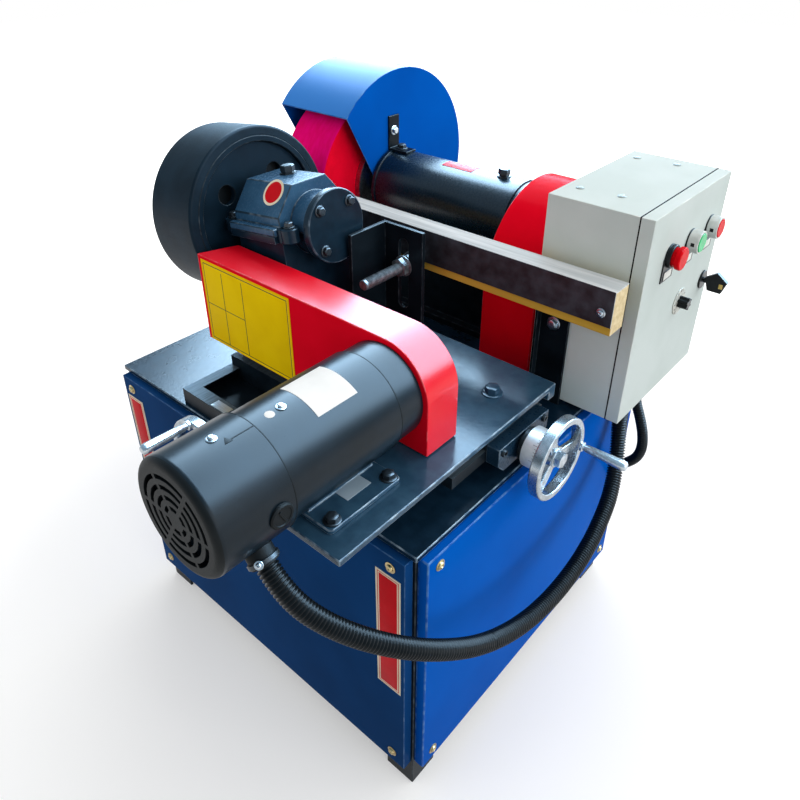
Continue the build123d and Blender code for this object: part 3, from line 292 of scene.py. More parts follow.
# The halves meet between two ribs, two fifths of the way along, where the hose follows the saddle.
ribs_in_front = len(motor_line) * 2 // 5 // len(rib_shares)
middle = ribs_in_front * len(rib_shares)
halves = (
    ("motor_hose_front", motor_line[: middle + 1], "table", "saddle", 0),
    ("motor_hose_back", motor_line[middle:], "saddle", "cabinet", -1),
)
for name, line, first, second, end in halves:
    piece = ribbed_tube(name, line, 0.012)
    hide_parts("motor_hose")
    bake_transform(piece)

panel_route = [
    spot(30, 503, 473), spot(30, 503, 443), spot(48, 503, 405), spot(58, 503, 372),
    spot(59, 503, 345), spot(50, 503, 322), spot(33, 503, 305),
]
panel_line = walk(spline_line(panel_route), rib_step)
piece = ribbed_tube("panel_hose_ribbed", panel_line, 0.0085)
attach(piece, "cabinet")
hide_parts("panel_hose")


# Corner posts: hot-rolled steel angle, welded under the deck and painted black.
# The paint is brushed on and semi-gloss, thin on the sheared edges, which also carry a painted highlight.
def alone(piece):
    """Make one piece the only one selected, and the one that tools act on."""
    bpy.ops.object.select_all(action="DESELECT")
    piece.select_set(True)
    bpy.context.view_layer.objects.active = piece


def rounded(piece, edge, turn=30, edge_wear_and_highlight=-1):
    """Break sharp edges by so many millimetres, give them the edge finish of wear and painted highlight, and
    keep flat faces flat.
    """
    alone(piece)
    bevel = piece.modifiers.new("broken_edges", "BEVEL")
    bevel.width = edge / 1000
    bevel.segments = 3
    bevel.limit_method = "ANGLE"
    bevel.angle_limit = radians(turn)
    # The bevel faces take the edge finish: wear and a painted highlight.
    bevel.material = edge_wear_and_highlight
    bpy.ops.object.modifier_apply(modifier=bevel.name)
    bpy.ops.object.shade_smooth_by_angle(angle=radians(turn + 10))
    flat = piece.modifiers.new("flat_faces", "WEIGHTED_NORMAL")
    flat.keep_sharp = True
    bpy.ops.object.modifier_apply(modifier=flat.name)
    return piece


def dressed(name, edge, *materials, edge_wear_and_highlight=None):
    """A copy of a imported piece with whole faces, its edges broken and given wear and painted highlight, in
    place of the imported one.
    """
    source = frame["nodes"][name]
    piece = bpy.data.objects.new(name + "_dressed", source.data.copy())
    bpy.context.scene.collection.objects.link(piece)
    alone(piece)
    bpy.ops.mesh.customdata_custom_splitnormals_clear()
    bpy.ops.object.mode_set(mode="EDIT")
    bpy.ops.mesh.select_all(action="SELECT")
    bpy.ops.mesh.remove_doubles(threshold=0.00002)
    bpy.ops.mesh.dissolve_limited(angle_limit=radians(1))
    bpy.ops.object.mode_set(mode="OBJECT")
    piece.data.materials.clear()
    for material in materials:
        piece.data.materials.append(material)
    if edge_wear_and_highlight:
        piece.data.materials.append(edge_wear_and_highlight)
    rounded(piece, edge, edge_wear_and_highlight=len(materials) if edge_wear_and_highlight else -1)
    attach(piece, source["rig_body"])
    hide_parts(name)
    return piece


def coat_where(piece, number, test):
    """Give the faces that a test picks, by centre and normal, another finish, but not the edge faces of wear
    and painted highlight.
    """
    for face in piece.data.polygons:
        if face.material_index == 0 and test(face.center, face.normal):
            face.material_index = number


# Alkyd enamel, black with a blue cast: soft gloss and a faint grain.
black_enamel = surface(
    "black_alkyd_enamel", "#0a1117", "#121b22",
    patch=45, grain=3.0, depth=0.03, rough=0.3, ior=1.15,
)
# The same paint on an edge in short grey runs: rubbed thin where steel shows through, and a painted highlight
# along the edge.
black_edge_wear_and_highlight = surface(
    "black_enamel_edge_wear_and_highlight", "#121b21", "#414b52",
    patch=14, grain=2.0, depth=0.02, rough=0.36, ior=1.2, bare=(0.48, 0.72),
)
dressed("corner_posts", 1.5, black_enamel, edge_wear_and_highlight=black_edge_wear_and_highlight)

# Cabinet panels: folded sheet trays, sprayed blue and screwed to the posts.
# The front one has a darker navy coat: painted shade, for the machine's own shade that it stands in.
# Sprayed alkyd enamel: high gloss with a fine orange peel, seen here mostly by its own colour.
blue_enamel = surface(
    "blue_alkyd_enamel", "#025ec4", "#0454b4",
    patch=240, grain=2.4, depth=0.012, rough=0.2, ior=1.03,
)
# A darker copy of the blue enamel: painted shade for the front panel.
painted_shade_blue_enamel = surface(
    "blue_enamel_painted_shade", "#14447c", "#103a6b",
    patch=240, grain=2.4, depth=0.012, rough=0.22, ior=1.03,
)
# Folded edges where the coat is thin and knocked, in short runs of paler blue: wear, and a painted highlight
# along the edge.
blue_edge_wear_and_highlight = surface(
    "blue_enamel_edge_wear_and_highlight", "#0f57b4", "#5b8cc4",
    patch=18, grain=2.0, depth=0.01, rough=0.25, ior=1.15, bare=(0.44, 0.7),
)
# The front panel's edges, darker: painted shade as well as wear and painted highlight.
painted_shade_blue_edge_wear_and_highlight = surface(
    "blue_enamel_painted_shade_edge_wear_and_highlight", "#1a4a80", "#55779d",
    patch=18, grain=2.0, depth=0.01, rough=0.25, ior=1.15, bare=(0.46, 0.7),
)
# Front panel: its darker coat is painted shade.
dressed("front_panel", 3.0, painted_shade_blue_enamel, edge_wear_and_highlight=painted_shade_blue_edge_wear_and_highlight)
for name in ("back_panel", "left_panel", "right_panel"):
    dressed(name, 3.0, blue_enamel, edge_wear_and_highlight=blue_edge_wear_and_highlight)


# Panel screws: zinc-plated pan heads on plain washers, one near each panel corner.
# The yellow passivation gives them a brassy tone.
def turned(name, steps, sides=28):
    """A round piece about +Z, from its lowest ring up: each step is a radius and a height in millimetres."""
    radius, height = steps[0]
    bpy.ops.object.select_all(action="DESELECT")
    bpy.ops.mesh.primitive_circle_add(vertices=sides, radius=radius / 1000, fill_type="NGON")
    piece = bpy.context.object
    piece.name = name
    bpy.ops.object.mode_set(mode="EDIT")
    bpy.ops.mesh.select_all(action="SELECT")
    bpy.ops.transform.translate(value=(0, 0, height / 1000))
    for wide, high in steps[1:]:
        bpy.ops.mesh.extrude_region_move(TRANSFORM_OT_translate={"value": (0, 0, (high - height) / 1000)})
        bpy.ops.transform.resize(value=(wide / radius, wide / radius, 1), center_override=(0, 0, high / 1000))
        radius, height = wide, high
    bpy.ops.mesh.select_all(action="SELECT")
    bpy.ops.mesh.normals_make_consistent(inside=False)
    bpy.ops.object.mode_set(mode="OBJECT")
    bpy.ops.object.shade_smooth_by_angle(angle=radians(40))
    return piece


def set_at(piece, where, facing, turn=0):
    """Put a piece that is made about +Z at a place, its top towards the facing."""
    aim = Vector(facing).to_track_quat("Z", "Y").to_matrix().to_4x4()
    piece.data.transform(Matrix.Translation(where) @ aim @ Matrix.Rotation(radians(turn), 4, "Z"))
    return piece


def joined(name, pieces, body, slot, *materials):
    """Make one piece of several that ride on the same body."""
    alone(pieces[0])
    for piece in pieces:
        piece.select_set(True)
        if materials:
            piece.data.materials.clear()
            for material in materials:
                piece.data.materials.append(material)
    if len(pieces) > 1:
        bpy.ops.object.join()
    pieces[0].name = name
    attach(pieces[0], body)
    return pieces[0]


def scattered(name, pattern, places, facing, body, slot, *materials):
    """Copies of one fastener, each with its own mesh, at several places, and the pattern gone."""
    copies = []
    for number, where in enumerate(places):
        copy = bpy.data.objects.new(name, pattern.data.copy())
        bpy.context.scene.collection.objects.link(copy)
        copies.append(set_at(copy, where, facing, 37 * number))
    bpy.data.objects.remove(pattern)
    return joined(name, copies, body, slot, *materials)


def pan_screw(head):
    """A pan head on a washer, with a round recess in its top."""
    washer = [(head * 1.55, 0), (head * 1.55, 0.9), (head * 1.45, 1.2)]
    dome = [(head, 1.25), (head, 2.4), (head * 0.86, 3.4), (head * 0.55, 3.9)]
    recess = [(head * 0.4, 3.9), (head * 0.18, 2.6)]
    return turned("pan_screw", washer + dome + recess)


# Zinc plate with yellow passivation: satin metal in two close brassy tones.
yellow_zinc = surface(
    "yellow_passivated_zinc", "#b9a67a", "#9c8a66",
    patch=6, grain=1.2, depth=0.01, rough=0.3, metal=1.0,
)
screw_x, screw_y, screw_z = (-574, -26), (26, 524), (74, 452)
panel_screws = (
    ("front", (0, -1, 0), [spot(x, -15, z) for x in screw_x for z in screw_z]),
    ("back", (0, 1, 0), [spot(x, 565, z) for x in screw_x for z in screw_z]),
    ("right", (1, 0, 0), [spot(15, y, z) for y in screw_y for z in screw_z]),
    ("left", (-1, 0, 0), [spot(-615, y, z) for y in screw_y for z in screw_z]),
)
for side, facing, places in panel_screws:
    scattered(side + "_panel_screws", pan_screw(5.0), places, facing, "cabinet", "steel", yellow_zinc)


# Front plates: two upright printed foils on the front panel, red with a cream edge, left bare.
# Each is a thin sheet with broken edges, glued flat.
def block(name, low, high, edge):
    """A block between two corners in millimetres from the cabinet's corner, with broken edges."""
    low, high = spot(*low), spot(*high)
    bpy.ops.object.select_all(action="DESELECT")
    bpy.ops.mesh.primitive_cube_add(size=1, location=(low + high) / 2)
    piece = bpy.context.object
    piece.name = name
    piece.scale = high - low
    bpy.ops.object.transform_apply(location=True, rotation=True, scale=True)
    return rounded(piece, edge)


def pick(piece, test):
    """Select the faces that a test picks, by centre and normal, and go into edit mode."""
    alone(piece)
    bpy.ops.object.mode_set(mode="EDIT")
    bpy.ops.mesh.select_mode(type="FACE")
    bpy.ops.mesh.select_all(action="DESELECT")
    bpy.ops.object.mode_set(mode="OBJECT")
    for face in piece.data.polygons:
        face.select = test(face.center, face.normal)
    bpy.ops.object.mode_set(mode="EDIT")


def foil(name, low, high, facing, borders, *materials):
    """A thin sheet with borders of given widths on its outer face: inside each, the next material starts."""
    piece = block(name, low, high, 0.15)
    for material in materials:
        piece.data.materials.append(material)
    facing = Vector(facing)
    outer = [f for f in piece.data.polygons if f.normal.dot(facing) > 0.99]
    middle = max(outer, key=lambda f: f.area).center.copy()
    pick(piece, lambda c, n: n.dot(facing) > 0.99 and (c - middle).length < 1e-6)
    for number, width in enumerate(borders):
        bpy.ops.mesh.inset(thickness=width / 1000)
        piece.active_material_index = number + 1
        bpy.ops.object.material_slot_assign()
    bpy.ops.object.mode_set(mode="OBJECT")
    return piece


# Printed polyester foil: even colour under a clear, slightly scuffed film.
red_foil = surface(
    "red_polyester_foil", "#d4121f", "#c5101b",
    patch=40, grain=3.0, depth=0.01, rough=0.35, ior=1.12,
)
cream_foil = surface(
    "cream_polyester_foil", "#efe6cf", "#e2d8bd",
    patch=40, grain=3.0, depth=0.01, rough=0.38, ior=1.12,
)
for name, left, right in (("right_front_foil", -50, -10), ("left_front_foil", -590, -550)):
    layers = (cream_foil, red_foil, cream_foil, red_foil)
    piece = foil(name, (left, -15.7, 221), (right, -15, 437), (0, -1, 0), (2.5, 1.2, 1.6), *layers)
    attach(piece, "cabinet")

# Deck plate: thick steel plate over the posts, in hammered navy paint.
# Hammer finish pools into small cells with a glossy skin, so it is dark in shade and pale under the sky.
deck_paint = surface(
    "hammered_navy_enamel", "#0c2233", "#142c40",
    patch=24, grain=4.5, depth=0.06, rough=0.2, ior=1.32, cells=True,
)
# Its edges in short runs of pale blue-grey: rubbed paint, and a painted highlight along the edge.
deck_edge_wear_and_highlight = surface(
    "navy_enamel_edge_wear_and_highlight", "#2b455b", "#8a9dab",
    patch=16, grain=2.0, depth=0.02, rough=0.3, ior=1.3, bare=(0.42, 0.66),
)
dressed("deck_plate", 1.5, deck_paint, edge_wear_and_highlight=deck_edge_wear_and_highlight)

# Slide base: cast-iron trough on the deck, its top rails machined and oiled.
# The sides keep the black casting paint.
# Grey cast iron under paint: a coarse sand-cast skin.
casting_paint = surface(
    "painted_sand_casting", "#0b1319", "#121c24",
    patch=18, grain=4.0, depth=0.08, rough=0.34, ior=1.2,
)
# Machined cast iron: grey, with fine tool lines along the travel and a film of oil.
machined_iron = surface(
    "machined_cast_iron", "#56626a", "#434e55",
    patch=14, grain=1.2, depth=0.01, rough=0.42, metal=0.25, ior=1.2, stretch=(6, 0.4, 1),
)
base = dressed("slide_base", 1.2, casting_paint, machined_iron, edge_wear_and_highlight=black_edge_wear_and_highlight)
rail_level = 0.5045
coat_where(base, 1, lambda c, n: n.z > 0.9 and c.z > rail_level)
# Bare aluminium tag on top of the front wall.
bare_aluminium = surface(
    "brushed_aluminium", "#c9cfd2", "#b8bfc3",
    patch=12, grain=1.0, depth=0.006, rough=0.32, metal=1.0, stretch=(1, 8, 8),
)
tag = block("base_tag", (-381, 2, 505), (-348, 16, 505.8), 0.2)
joined("base_tag", [tag], "cabinet", "steel", bare_aluminium)

# Cross saddle: cast-iron slide with dovetails below and above, painted black on its ends.
# Its top is scraped bare where the table runs.
saddle = dressed("cross_saddle", 0.8, casting_paint, machined_iron, edge_wear_and_highlight=black_edge_wear_and_highlight)
coat_where(saddle, 1, lambda c, n: n.z > 0.9)

# Screw block: milled steel bar on the saddle's end, held by two socket screws.
# It bears the side screw and is painted in blue-grey enamel.
block_paint = surface(
    "blue_grey_enamel", "#1f3a50", "#193144",
    patch=14, grain=3.0, depth=0.02, rough=0.28, ior=1.22,
)
dressed("screw_block", 1.5, block_paint, edge_wear_and_highlight=deck_edge_wear_and_highlight)


def socket_screw(head):
    """A cylinder head with a deep round socket."""
    outside = [(head, 0), (head, head * 0.8), (head * 0.92, head * 0.95)]
    socket = [(head * 0.56, head * 0.95), (head * 0.5, head * 0.3)]
    return turned("socket_screw", outside + socket, 24)


# Phosphated steel: near black and dry.
phosphate = surface(
    "phosphated_steel", "#171c20", "#22292e",
    patch=6, grain=1.0, depth=0.01, rough=0.45, metal=0.5,
)
places = [spot(1.5, 166, 525), spot(1.5, 260, 526)]
scattered("block_screws", socket_screw(5.0), places, (1, 0, 0), "saddle", "steel", phosphate)

# Slide table and motor plate: cast table under a flame-cut plate, bolted down from above.
# The plate has the deck's hammer finish in a slate blue.
dressed("slide_table", 1.0, casting_paint, edge_wear_and_highlight=black_edge_wear_and_highlight)
plate_paint = surface(
    "hammered_slate_enamel", "#25435a", "#2f5068",
    patch=22, grain=4.5, depth=0.07, rough=0.2, ior=1.29, cells=True,
)
dressed("motor_plate", 1.5, plate_paint, edge_wear_and_highlight=deck_edge_wear_and_highlight)


def hex_bolt(across, height, washer):
    """A hexagon head on a plain washer."""
    ring = turned("washer", [(washer, 0), (washer, 1.4), (washer - 0.5, 1.8), (across * 0.5, 1.8)], 28)
    corner = across / 2 / cos(radians(30))
    steps = [(corner, 1.8), (corner, height), (across * 0.46, height + 1.0), (across * 0.2, height + 1.05)]
    head = turned("head", steps, 6)
    alone(ring)
    head.select_set(True)
    bpy.ops.object.join()
    return ring


# Zinc plate with blue passivation: clean bright satin metal.
bright_zinc = surface(
    "blue_passivated_zinc", "#b4babf", "#969da3",
    patch=6, grain=1.2, depth=0.01, rough=0.28, metal=1.0,
)
# Blackened steel: dark and satin, with a little oil.
black_steel = surface(
    "blackened_steel", "#1a2127", "#252e35",
    patch=12, grain=1.6, depth=0.015, rough=0.34, metal=0.4,
)
places = [spot(-56, 221, 560.4)]
scattered("plate_bolt", hex_bolt(17, 10, 14), places, (0, 0, 1), "table", "steel", plate_paint)


# Handwheels: cast and polished aluminium, held on their screws by a hexagon nut in front.
# Each has a turned steel handle on its rim.
polished = surface(
    "polished_aluminium", "#a8aeb3", "#8f969b",
    patch=10, grain=2.0, depth=0.012, rough=0.27, metal=1.0,
)
# Turned steel: bright and satin, with a fine grain.
turned_steel = surface(
    "turned_steel", "#b9bfc3", "#9aa2a8",
    patch=8, grain=1.0, depth=0.008, rough=0.28, metal=1.0,
)
dark_ink = surface("dial_ink", "#1a1d20", "#24282b", patch=5, grain=1.0, depth=0.004, rough=0.5)
side_y, side_z = 216, 512
front_x, front_z = -308, 494
handle_radius, side_turn, front_turn = 52.5, radians(-10), radians(100)
side_hub = spot(50, side_y, side_z)
front_hub = spot(front_x, -64, front_z)
side_rim = spot(58.1, side_y + handle_radius * cos(side_turn), side_z + handle_radius * sin(side_turn))
front_rim = spot(front_x + handle_radius * cos(front_turn), -72.1, front_z + handle_radius * sin(front_turn))
wheels = (
    ("side", "side_wheel", side_hub, Vector((1, 0, 0)), side_rim, 63.9),
    ("front", "front_wheel", front_hub, Vector((0, -1, 0)), front_rim, 67.9),
)
for name, body, hub, way, rim, long in wheels:
    dressed(name + "_handwheel", 1.2, polished)
    scattered(name + "_hub_nut", hex_bolt(19, 10, 13), [hub], way, body, "steel", bright_zinc)
    neck = [(6.6, 0), (6.6, 3), (4.4, 4), (4.4, 7), (5.2, 9), (5.9, 28)]
    knob = [(6.8, long - 12), (7.0, long - 6), (6.4, long - 2), (4.6, long - 0.1), (1.5, long)]
    handle = set_at(turned(name + "_grip", neck + knob), rim, way)
    joined(name + "_grip", [handle], body, "chrome", turned_steel)
    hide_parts(name + "_handle")


# Screws: both with turned collars, the side one with forty dark lines round it and a dark ring behind.
# Satin chrome: pale and even, so that the lines read.
def loose_block(name, low, high, edge):
    """A block between two corners in millimetres from the frame's own origin, to be set in place."""
    piece = block(name, low, high, edge)
    piece.data.transform(Matrix.Translation(-spot(0, 0, 0)))
    return piece


satin_chrome = surface(
    "satin_chrome_plate", "#dfe3e5", "#d2d7da",
    patch=8, grain=1.0, depth=0.006, rough=0.42, metal=0.35,
)
side_screw = dressed("side_screw", 0.8, satin_chrome, phosphate)
dark_ring = (0.2570, 0.2679)
coat_where(side_screw, 1, lambda c, n: dark_ring[0] < c.x < dark_ring[1])
dressed("front_screw", 0.8, satin_chrome)
line_count, collar_face = 40, 35
marks = []
for number in range(line_count):
    length = 9 if number % 5 == 0 else 5.5
    turn = Matrix.Rotation(radians(number * 360 / line_count), 4, "X")
    mark = loose_block("mark", (collar_face - length, -0.25, 27.75), (collar_face, 0.25, 28.12), 0.05)
    mark.data.transform(Matrix.Translation(spot(0, side_y, side_z)) @ turn)
    marks.append(mark)
joined("dial_marks", marks, "side_wheel", "black_plastic", dark_ink)

# Feed motor: rolled steel shell, end bell and fan cover in black paint, on a foot in the plate's finish.
# Four bolts hold the foot to the plate, and the hose starts at a gland low on the right.
# Textured stove enamel: black, fine grain, a broad soft sheen.
motor_paint = surface(
    "black_stove_enamel", "#07131b", "#0c1a24",
    patch=60, grain=1.8, depth=0.012, rough=0.3, ior=1.24,
)
dressed("motor_foot", 1.5, plate_paint, edge_wear_and_highlight=deck_edge_wear_and_highlight)
dressed("motor_body", 1.0, motor_paint)
dressed("motor_end_bell", 2.0, motor_paint)
# Moulded polypropylene: matt black.
grille_plastic = surface(
    "black_polypropylene", "#0a0e10", "#101517",
    patch=30, grain=1.2, depth=0.03, rough=0.5, ior=1.2,
)
fan = dressed("fan_cover", 0.8, motor_paint, grille_plastic)
front_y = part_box("fan_cover")[0].y
# The faces inside the cover that show through its slots take the matt black: painted shade in the slots.
face_end, slot_shade_end = front_y + 0.006, front_y + 0.03
coat_where(fan, 1, lambda c, n: c.y < face_end or (n.y > 0.5 and c.y < slot_shade_end))
dressed("motor_gland", 1.5, grille_plastic)
foot_bolts = [spot(motor_x + x, y, 566.4) for x in (-58, 58) for y in (-83, 4)]
scattered("foot_bolts", hex_bolt(13, 7, 10), foot_bolts, (0, 0, 1), "table", "steel", black_steel)


# Motor fittings: two pan screws, a paint dot, a bare white foil and a cap with a bar across it.
# They sit on the round shell, at a turn from its right side up over its top. The hose clip is on the gland.
def round_motor(turn, along, radius):
    """A place on a shell about the motor's axis, and the way out from it."""
    out = Vector((cos(radians(turn)), 0, sin(radians(turn))))
    return spot(motor_x, along, motor_z) + out * radius / 1000, out


def wrapped(name, place, radius, turns, run, *materials):
    """A foil round a shell between two turns and along a run."""
    bpy.ops.object.select_all(action="DESELECT")
    bpy.ops.mesh.primitive_grid_add(x_subdivisions=24, y_subdivisions=4, size=1)
    piece = bpy.context.object
    piece.name = name
    for material in materials:
        piece.data.materials.append(material)
    for corner in piece.data.vertices:
        turn = turns[0] + (corner.co.x + 0.5) * (turns[1] - turns[0])
        corner.co = place(turn, run[0] + (corner.co.y + 0.5) * (run[1] - run[0]), radius)[0]
    alone(piece)
    bpy.ops.object.mode_set(mode="EDIT")
    bpy.ops.mesh.select_all(action="SELECT")
    bpy.ops.mesh.normals_make_consistent(inside=False)
    bpy.ops.object.mode_set(mode="OBJECT")
    thick = piece.modifiers.new("film", "SOLIDIFY")
    thick.thickness = 0.0004
    thick.offset = 0
    bpy.ops.object.modifier_apply(modifier=thick.name)
    bpy.ops.object.shade_smooth_by_angle(angle=radians(40))
    return piece


white_foil = surface(
    "white_polyester_foil", "#eef1f1", "#e6e9e9",
    patch=40, grain=3.0, depth=0.006, rough=0.4, ior=1.03,
)
# Pale grey-blue sheet: painted reflection of the sky, for the patch on the motor foot.
foot_painted_sky_reflection = surface(
    "foot_painted_sky_reflection_foil", "#9db0be", "#8ea2b0",
    patch=40, grain=3.0, depth=0.006, rough=0.4, ior=1.05,
)
label = wrapped("motor_label", round_motor, 62.2, (55, 109), (-72, -17), white_foil)
joined("motor_label", [label], "table", "steel")
fittings = []
for turn, along, radius in ((90, -171, 65), (84, -94, 62)):
    fittings.append(set_at(pan_screw(3.6), *round_motor(turn, along, radius - 0.2)))
joined("shell_screws", fittings, "table", "steel", bright_zinc)
dot = set_at(turned("paint_dot", [(5.2, 0), (5.2, 0.4), (4.2, 0.7)], 20), *round_motor(83, -109, 61.7))
joined("paint_dot", [dot], "table", "steel", white_foil)
cap_place, cap_way = round_motor(-2.5, -151, 64.2)
cap_steps = [(14, 0), (14, 2.4), (12.6, 3.6), (10.6, 3.6), (10, 2.8), (2, 2.8)]
brush_cap = set_at(turned("cap", cap_steps, 36), cap_place, cap_way)
slot_bar = loose_block("slot_bar", (-1.2, -8.5, 2.6), (1.2, 8.5, 4.0), 0.3)
set_at(slot_bar, cap_place, cap_way, 25)
joined("brush_cap", [brush_cap, slot_bar], "table", "black_plastic", grille_plastic)
clip_place = gland_foot + gland_way * 74
clip = turned("clip", [(16.6, 0), (17, 0.4), (17, 4.6), (16.6, 5)], 32)
joined("hose_clip", [set_at(clip, clip_place, gland_way)], "table", "steel", black_steel)
clip_out = Vector((0.53, -0.7, 0.48)).normalized()
places = [clip_place + gland_way * 2.5 + clip_out * 0.0168]
scattered("clip_screw", pan_screw(3.0), places, clip_out, "table", "steel", bright_zinc)
# The rims of the fan cover and the end bell show as dark lines, with a bayonet cut and its notch on top.
seam = turned("seam", [(65.0, 0), (65.3, 0.1), (65.3, 1.1), (65.0, 1.2)], 96)
set_at(seam, spot(motor_x, -131, motor_z), (0, -1, 0))
cut = wrapped("cut", round_motor, 65.15, (78.8, 79.7), (-160, -132))
notch = set_at(turned("notch", [(5.2, 0), (5.2, 0.5), (4.8, 0.6)], 3), *round_motor(79.5, -162, 64.8))
bell = turned("bell", [(62.0, 0), (62.25, 0.1), (62.25, 1.1), (62.0, 1.2)], 96)
set_at(bell, spot(motor_x, 24, motor_z), (0, -1, 0))
joined("cover_seam", [seam, cut, notch, bell], "table", "black_plastic", grille_plastic)
# A thin pale sheet on the foot beside the shell: painted reflection of the sky.
foot_reflection_patch = block("foot_reflection_patch", (-74, -52, 566.3), (-53, -15, 566.9), 0.2)
joined("foot_reflection_patch", [foot_reflection_patch], "table", "steel", foot_painted_sky_reflection)

# Feed belt guard: folded and welded sheet in red gloss enamel.
# It closes in the belt between the motor and the gearbox.
red_enamel = surface(
    "red_alkyd_enamel", "#f60826", "#ec0722",
    patch=120, grain=2.4, depth=0.012, rough=0.2, ior=1.03,
)
# The rolled strip of a guard keeps more of its gloss than the flat sides that hands rub.
red_gloss = surface(
    "red_gloss_enamel", "#f00c26", "#e60a22",
    patch=120, grain=2.4, depth=0.012, rough=0.24, ior=1.34,
)
# Its edges in short pink runs: knocked paint, and a painted highlight along the edge.
red_edge_wear_and_highlight = surface(
    "red_enamel_edge_wear_and_highlight", "#e81a2c", "#f2707a",
    patch=18, grain=2.0, depth=0.01, rough=0.25, ior=1.3, bare=(0.46, 0.72),
)
guard = dressed("feed_belt_guard", 2.5, red_enamel, red_gloss, edge_wear_and_highlight=red_edge_wear_and_highlight)
coat_where(guard, 1, lambda c, n: abs(n.y) < 0.7)
# Yellow foil on its front, bare but for a black line round it and lines that part it.
yellow_foil = surface(
    "yellow_polyester_foil", "#ffd60a", "#f8cd08",
    patch=50, grain=3.0, depth=0.01, rough=0.36, ior=1.06,
)
black_foil = surface(
    "black_polyester_foil", "#15160f", "#1c1d16",
    patch=50, grain=3.0, depth=0.01, rough=0.4, ior=1.2,
)
layers = (yellow_foil, black_foil, yellow_foil)
lines = [foil("guard_foil", (-444, 61.4, 564), (-262, 62, 692), (0, -1, 0), (4, 1.2), *layers)]
for low, high in (((-401, 569), (-400, 682)), ((-358, 569), (-357, 682)), ((-439, 625), (-358, 626))):
    lines.append(block("line", (low[0], 61.2, low[1]), (high[0], 61.5, high[1]), 0.05))
for line in lines[1:]:
    line.data.materials.append(black_foil)
joined("guard_foil", lines, "table", "red_paint")

# Worm gearbox: two iron castings bolted at a split flange, on a welded wedge.
# Machine enamel over cast iron: dark blue-grey, glossy, over a sand-cast skin.
gear_enamel = surface(
    "blue_grey_machine_enamel", "#0b1d2b", "#122838",
    patch=30, grain=4.0, depth=0.025, rough=0.24, ior=1.25,
)
# Its edges in short runs of pale grey-blue: rubbed paint, and a painted highlight along the edge.
gear_edge_wear_and_highlight = surface(
    "machine_enamel_edge_wear_and_highlight", "#1d3242", "#647684",
    patch=16, grain=2.0, depth=0.02, rough=0.3, ior=1.3, bare=(0.48, 0.7),
)
dressed("gearbox_base", 3.0, gear_enamel, edge_wear_and_highlight=gear_edge_wear_and_highlight)
# The cover's paler blue-grey is painted sky light on its upward faces.
cover_enamel_painted_sky_light = surface(
    "machine_enamel_painted_sky_light", "#2c506e", "#355b7a",
    patch=30, grain=4.0, depth=0.025, rough=0.26, ior=1.22,
)
# Gearbox cover: its paler coat is painted sky light.
dressed("gearbox_cover", 3.0, cover_enamel_painted_sky_light, edge_wear_and_highlight=gear_edge_wear_and_highlight)
dressed("gearbox_end_cap", 2.0, gear_enamel, edge_wear_and_highlight=gear_edge_wear_and_highlight)
dressed("gearbox_wedge", 1.5, black_enamel, edge_wear_and_highlight=black_edge_wear_and_highlight)
lean = radians(7.5)
shaft_way = Vector((cos(lean), 0, sin(lean)))
gear_up = Vector((-sin(lean), 0, cos(lean)))
gear_foot, shaft_height = spot(-380, 188, 638.4), 90


def on_gear(along, across, up):
    """A place in the gearbox's own leaning frame, in millimetres from the middle of its output shaft."""
    return gear_foot + (shaft_way * along + Vector((0, across, 0)) + gear_up * (shaft_height + up)) / 1000


bolt_ring, bolt_turns = 39, [radians(a) for a in (45, 135, 225, 315)]
cap_bolts = [on_gear(92, bolt_ring * cos(a), bolt_ring * sin(a)) for a in bolt_turns]
scattered("cap_bolts", hex_bolt(11, 6, 8), cap_bolts, shaft_way, "table", "steel", black_steel)
# Cast lugs at the ends of the split flange, each with its bolt.
lug_places = [(along, across) for along in (-60, 60) for across in (-56, 56)]
lugs = []
for along, across in lug_places:
    for inward in (1.0, 0.86):
        lug = turned("lug", [(11.6, -10), (13, -8.6), (13, 8.6), (11.6, 10)], 36)
        lugs.append(set_at(lug, on_gear(along * inward, across, 0), gear_up))
joined("flange_lugs", lugs, "table", "dark_paint", gear_enamel)
split_bolts = [on_gear(along, across, 10) for along, across in lug_places]
scattered("split_bolts", hex_bolt(11, 7, 8), split_bolts, gear_up, "table", "steel", black_steel)
steps = [(12, 0), (12, 2), (9.5, 2.5), (9.5, 4), (10.5, 4.2), (10.5, 11), (9, 12.5), (3, 12.5)]
breather = set_at(turned("breather", steps, 6), on_gear(-8, 12, 60), gear_up)
joined("breather", [breather], "table", "steel", black_steel)
# Round foil on the front slope: a red disc in a cream ring, bare.
slope_way = Vector((0, -0.775, 0)) + gear_up * 0.632
sticker = set_at(turned("sticker", [(19, 0), (19, 0.35), (15.5, 0.4)], 48), on_gear(19, -40, 49), slope_way)
joined("round_foil", [sticker], "table", "red_paint", cream_foil, red_foil)
smallest_disc = 0.0005
for face in sticker.data.polygons:
    face.material_index = int(face.area > smallest_disc)

# Feed wheel: steel drum and web under a thick moulded tyre, closed by a plate behind the web whose matt black
# is painted shade in the web's holes.
# Ground nitrile rubber: dull blue-black with a fine ground texture round it.
tyre_rubber = surface(
    "ground_nitrile_rubber", "#0c1b26", "#122431",
    patch=40, grain=2.2, depth=0.03, rough=0.4, ior=1.15,
)
wheel_paint = surface(
    "dark_machine_enamel", "#091a26", "#0e2230",
    patch=40, grain=3.0, depth=0.03, rough=0.34, ior=1.15,
)
dressed("feed_tyre", 1.0, tyre_rubber)
dressed("feed_drum", 1.5, wheel_paint, edge_wear_and_highlight=black_edge_wear_and_highlight)
dressed("feed_web", 1.0, wheel_paint, edge_wear_and_highlight=black_edge_wear_and_highlight)
dressed("feed_hub", 1.0, wheel_paint, edge_wear_and_highlight=black_edge_wear_and_highlight)
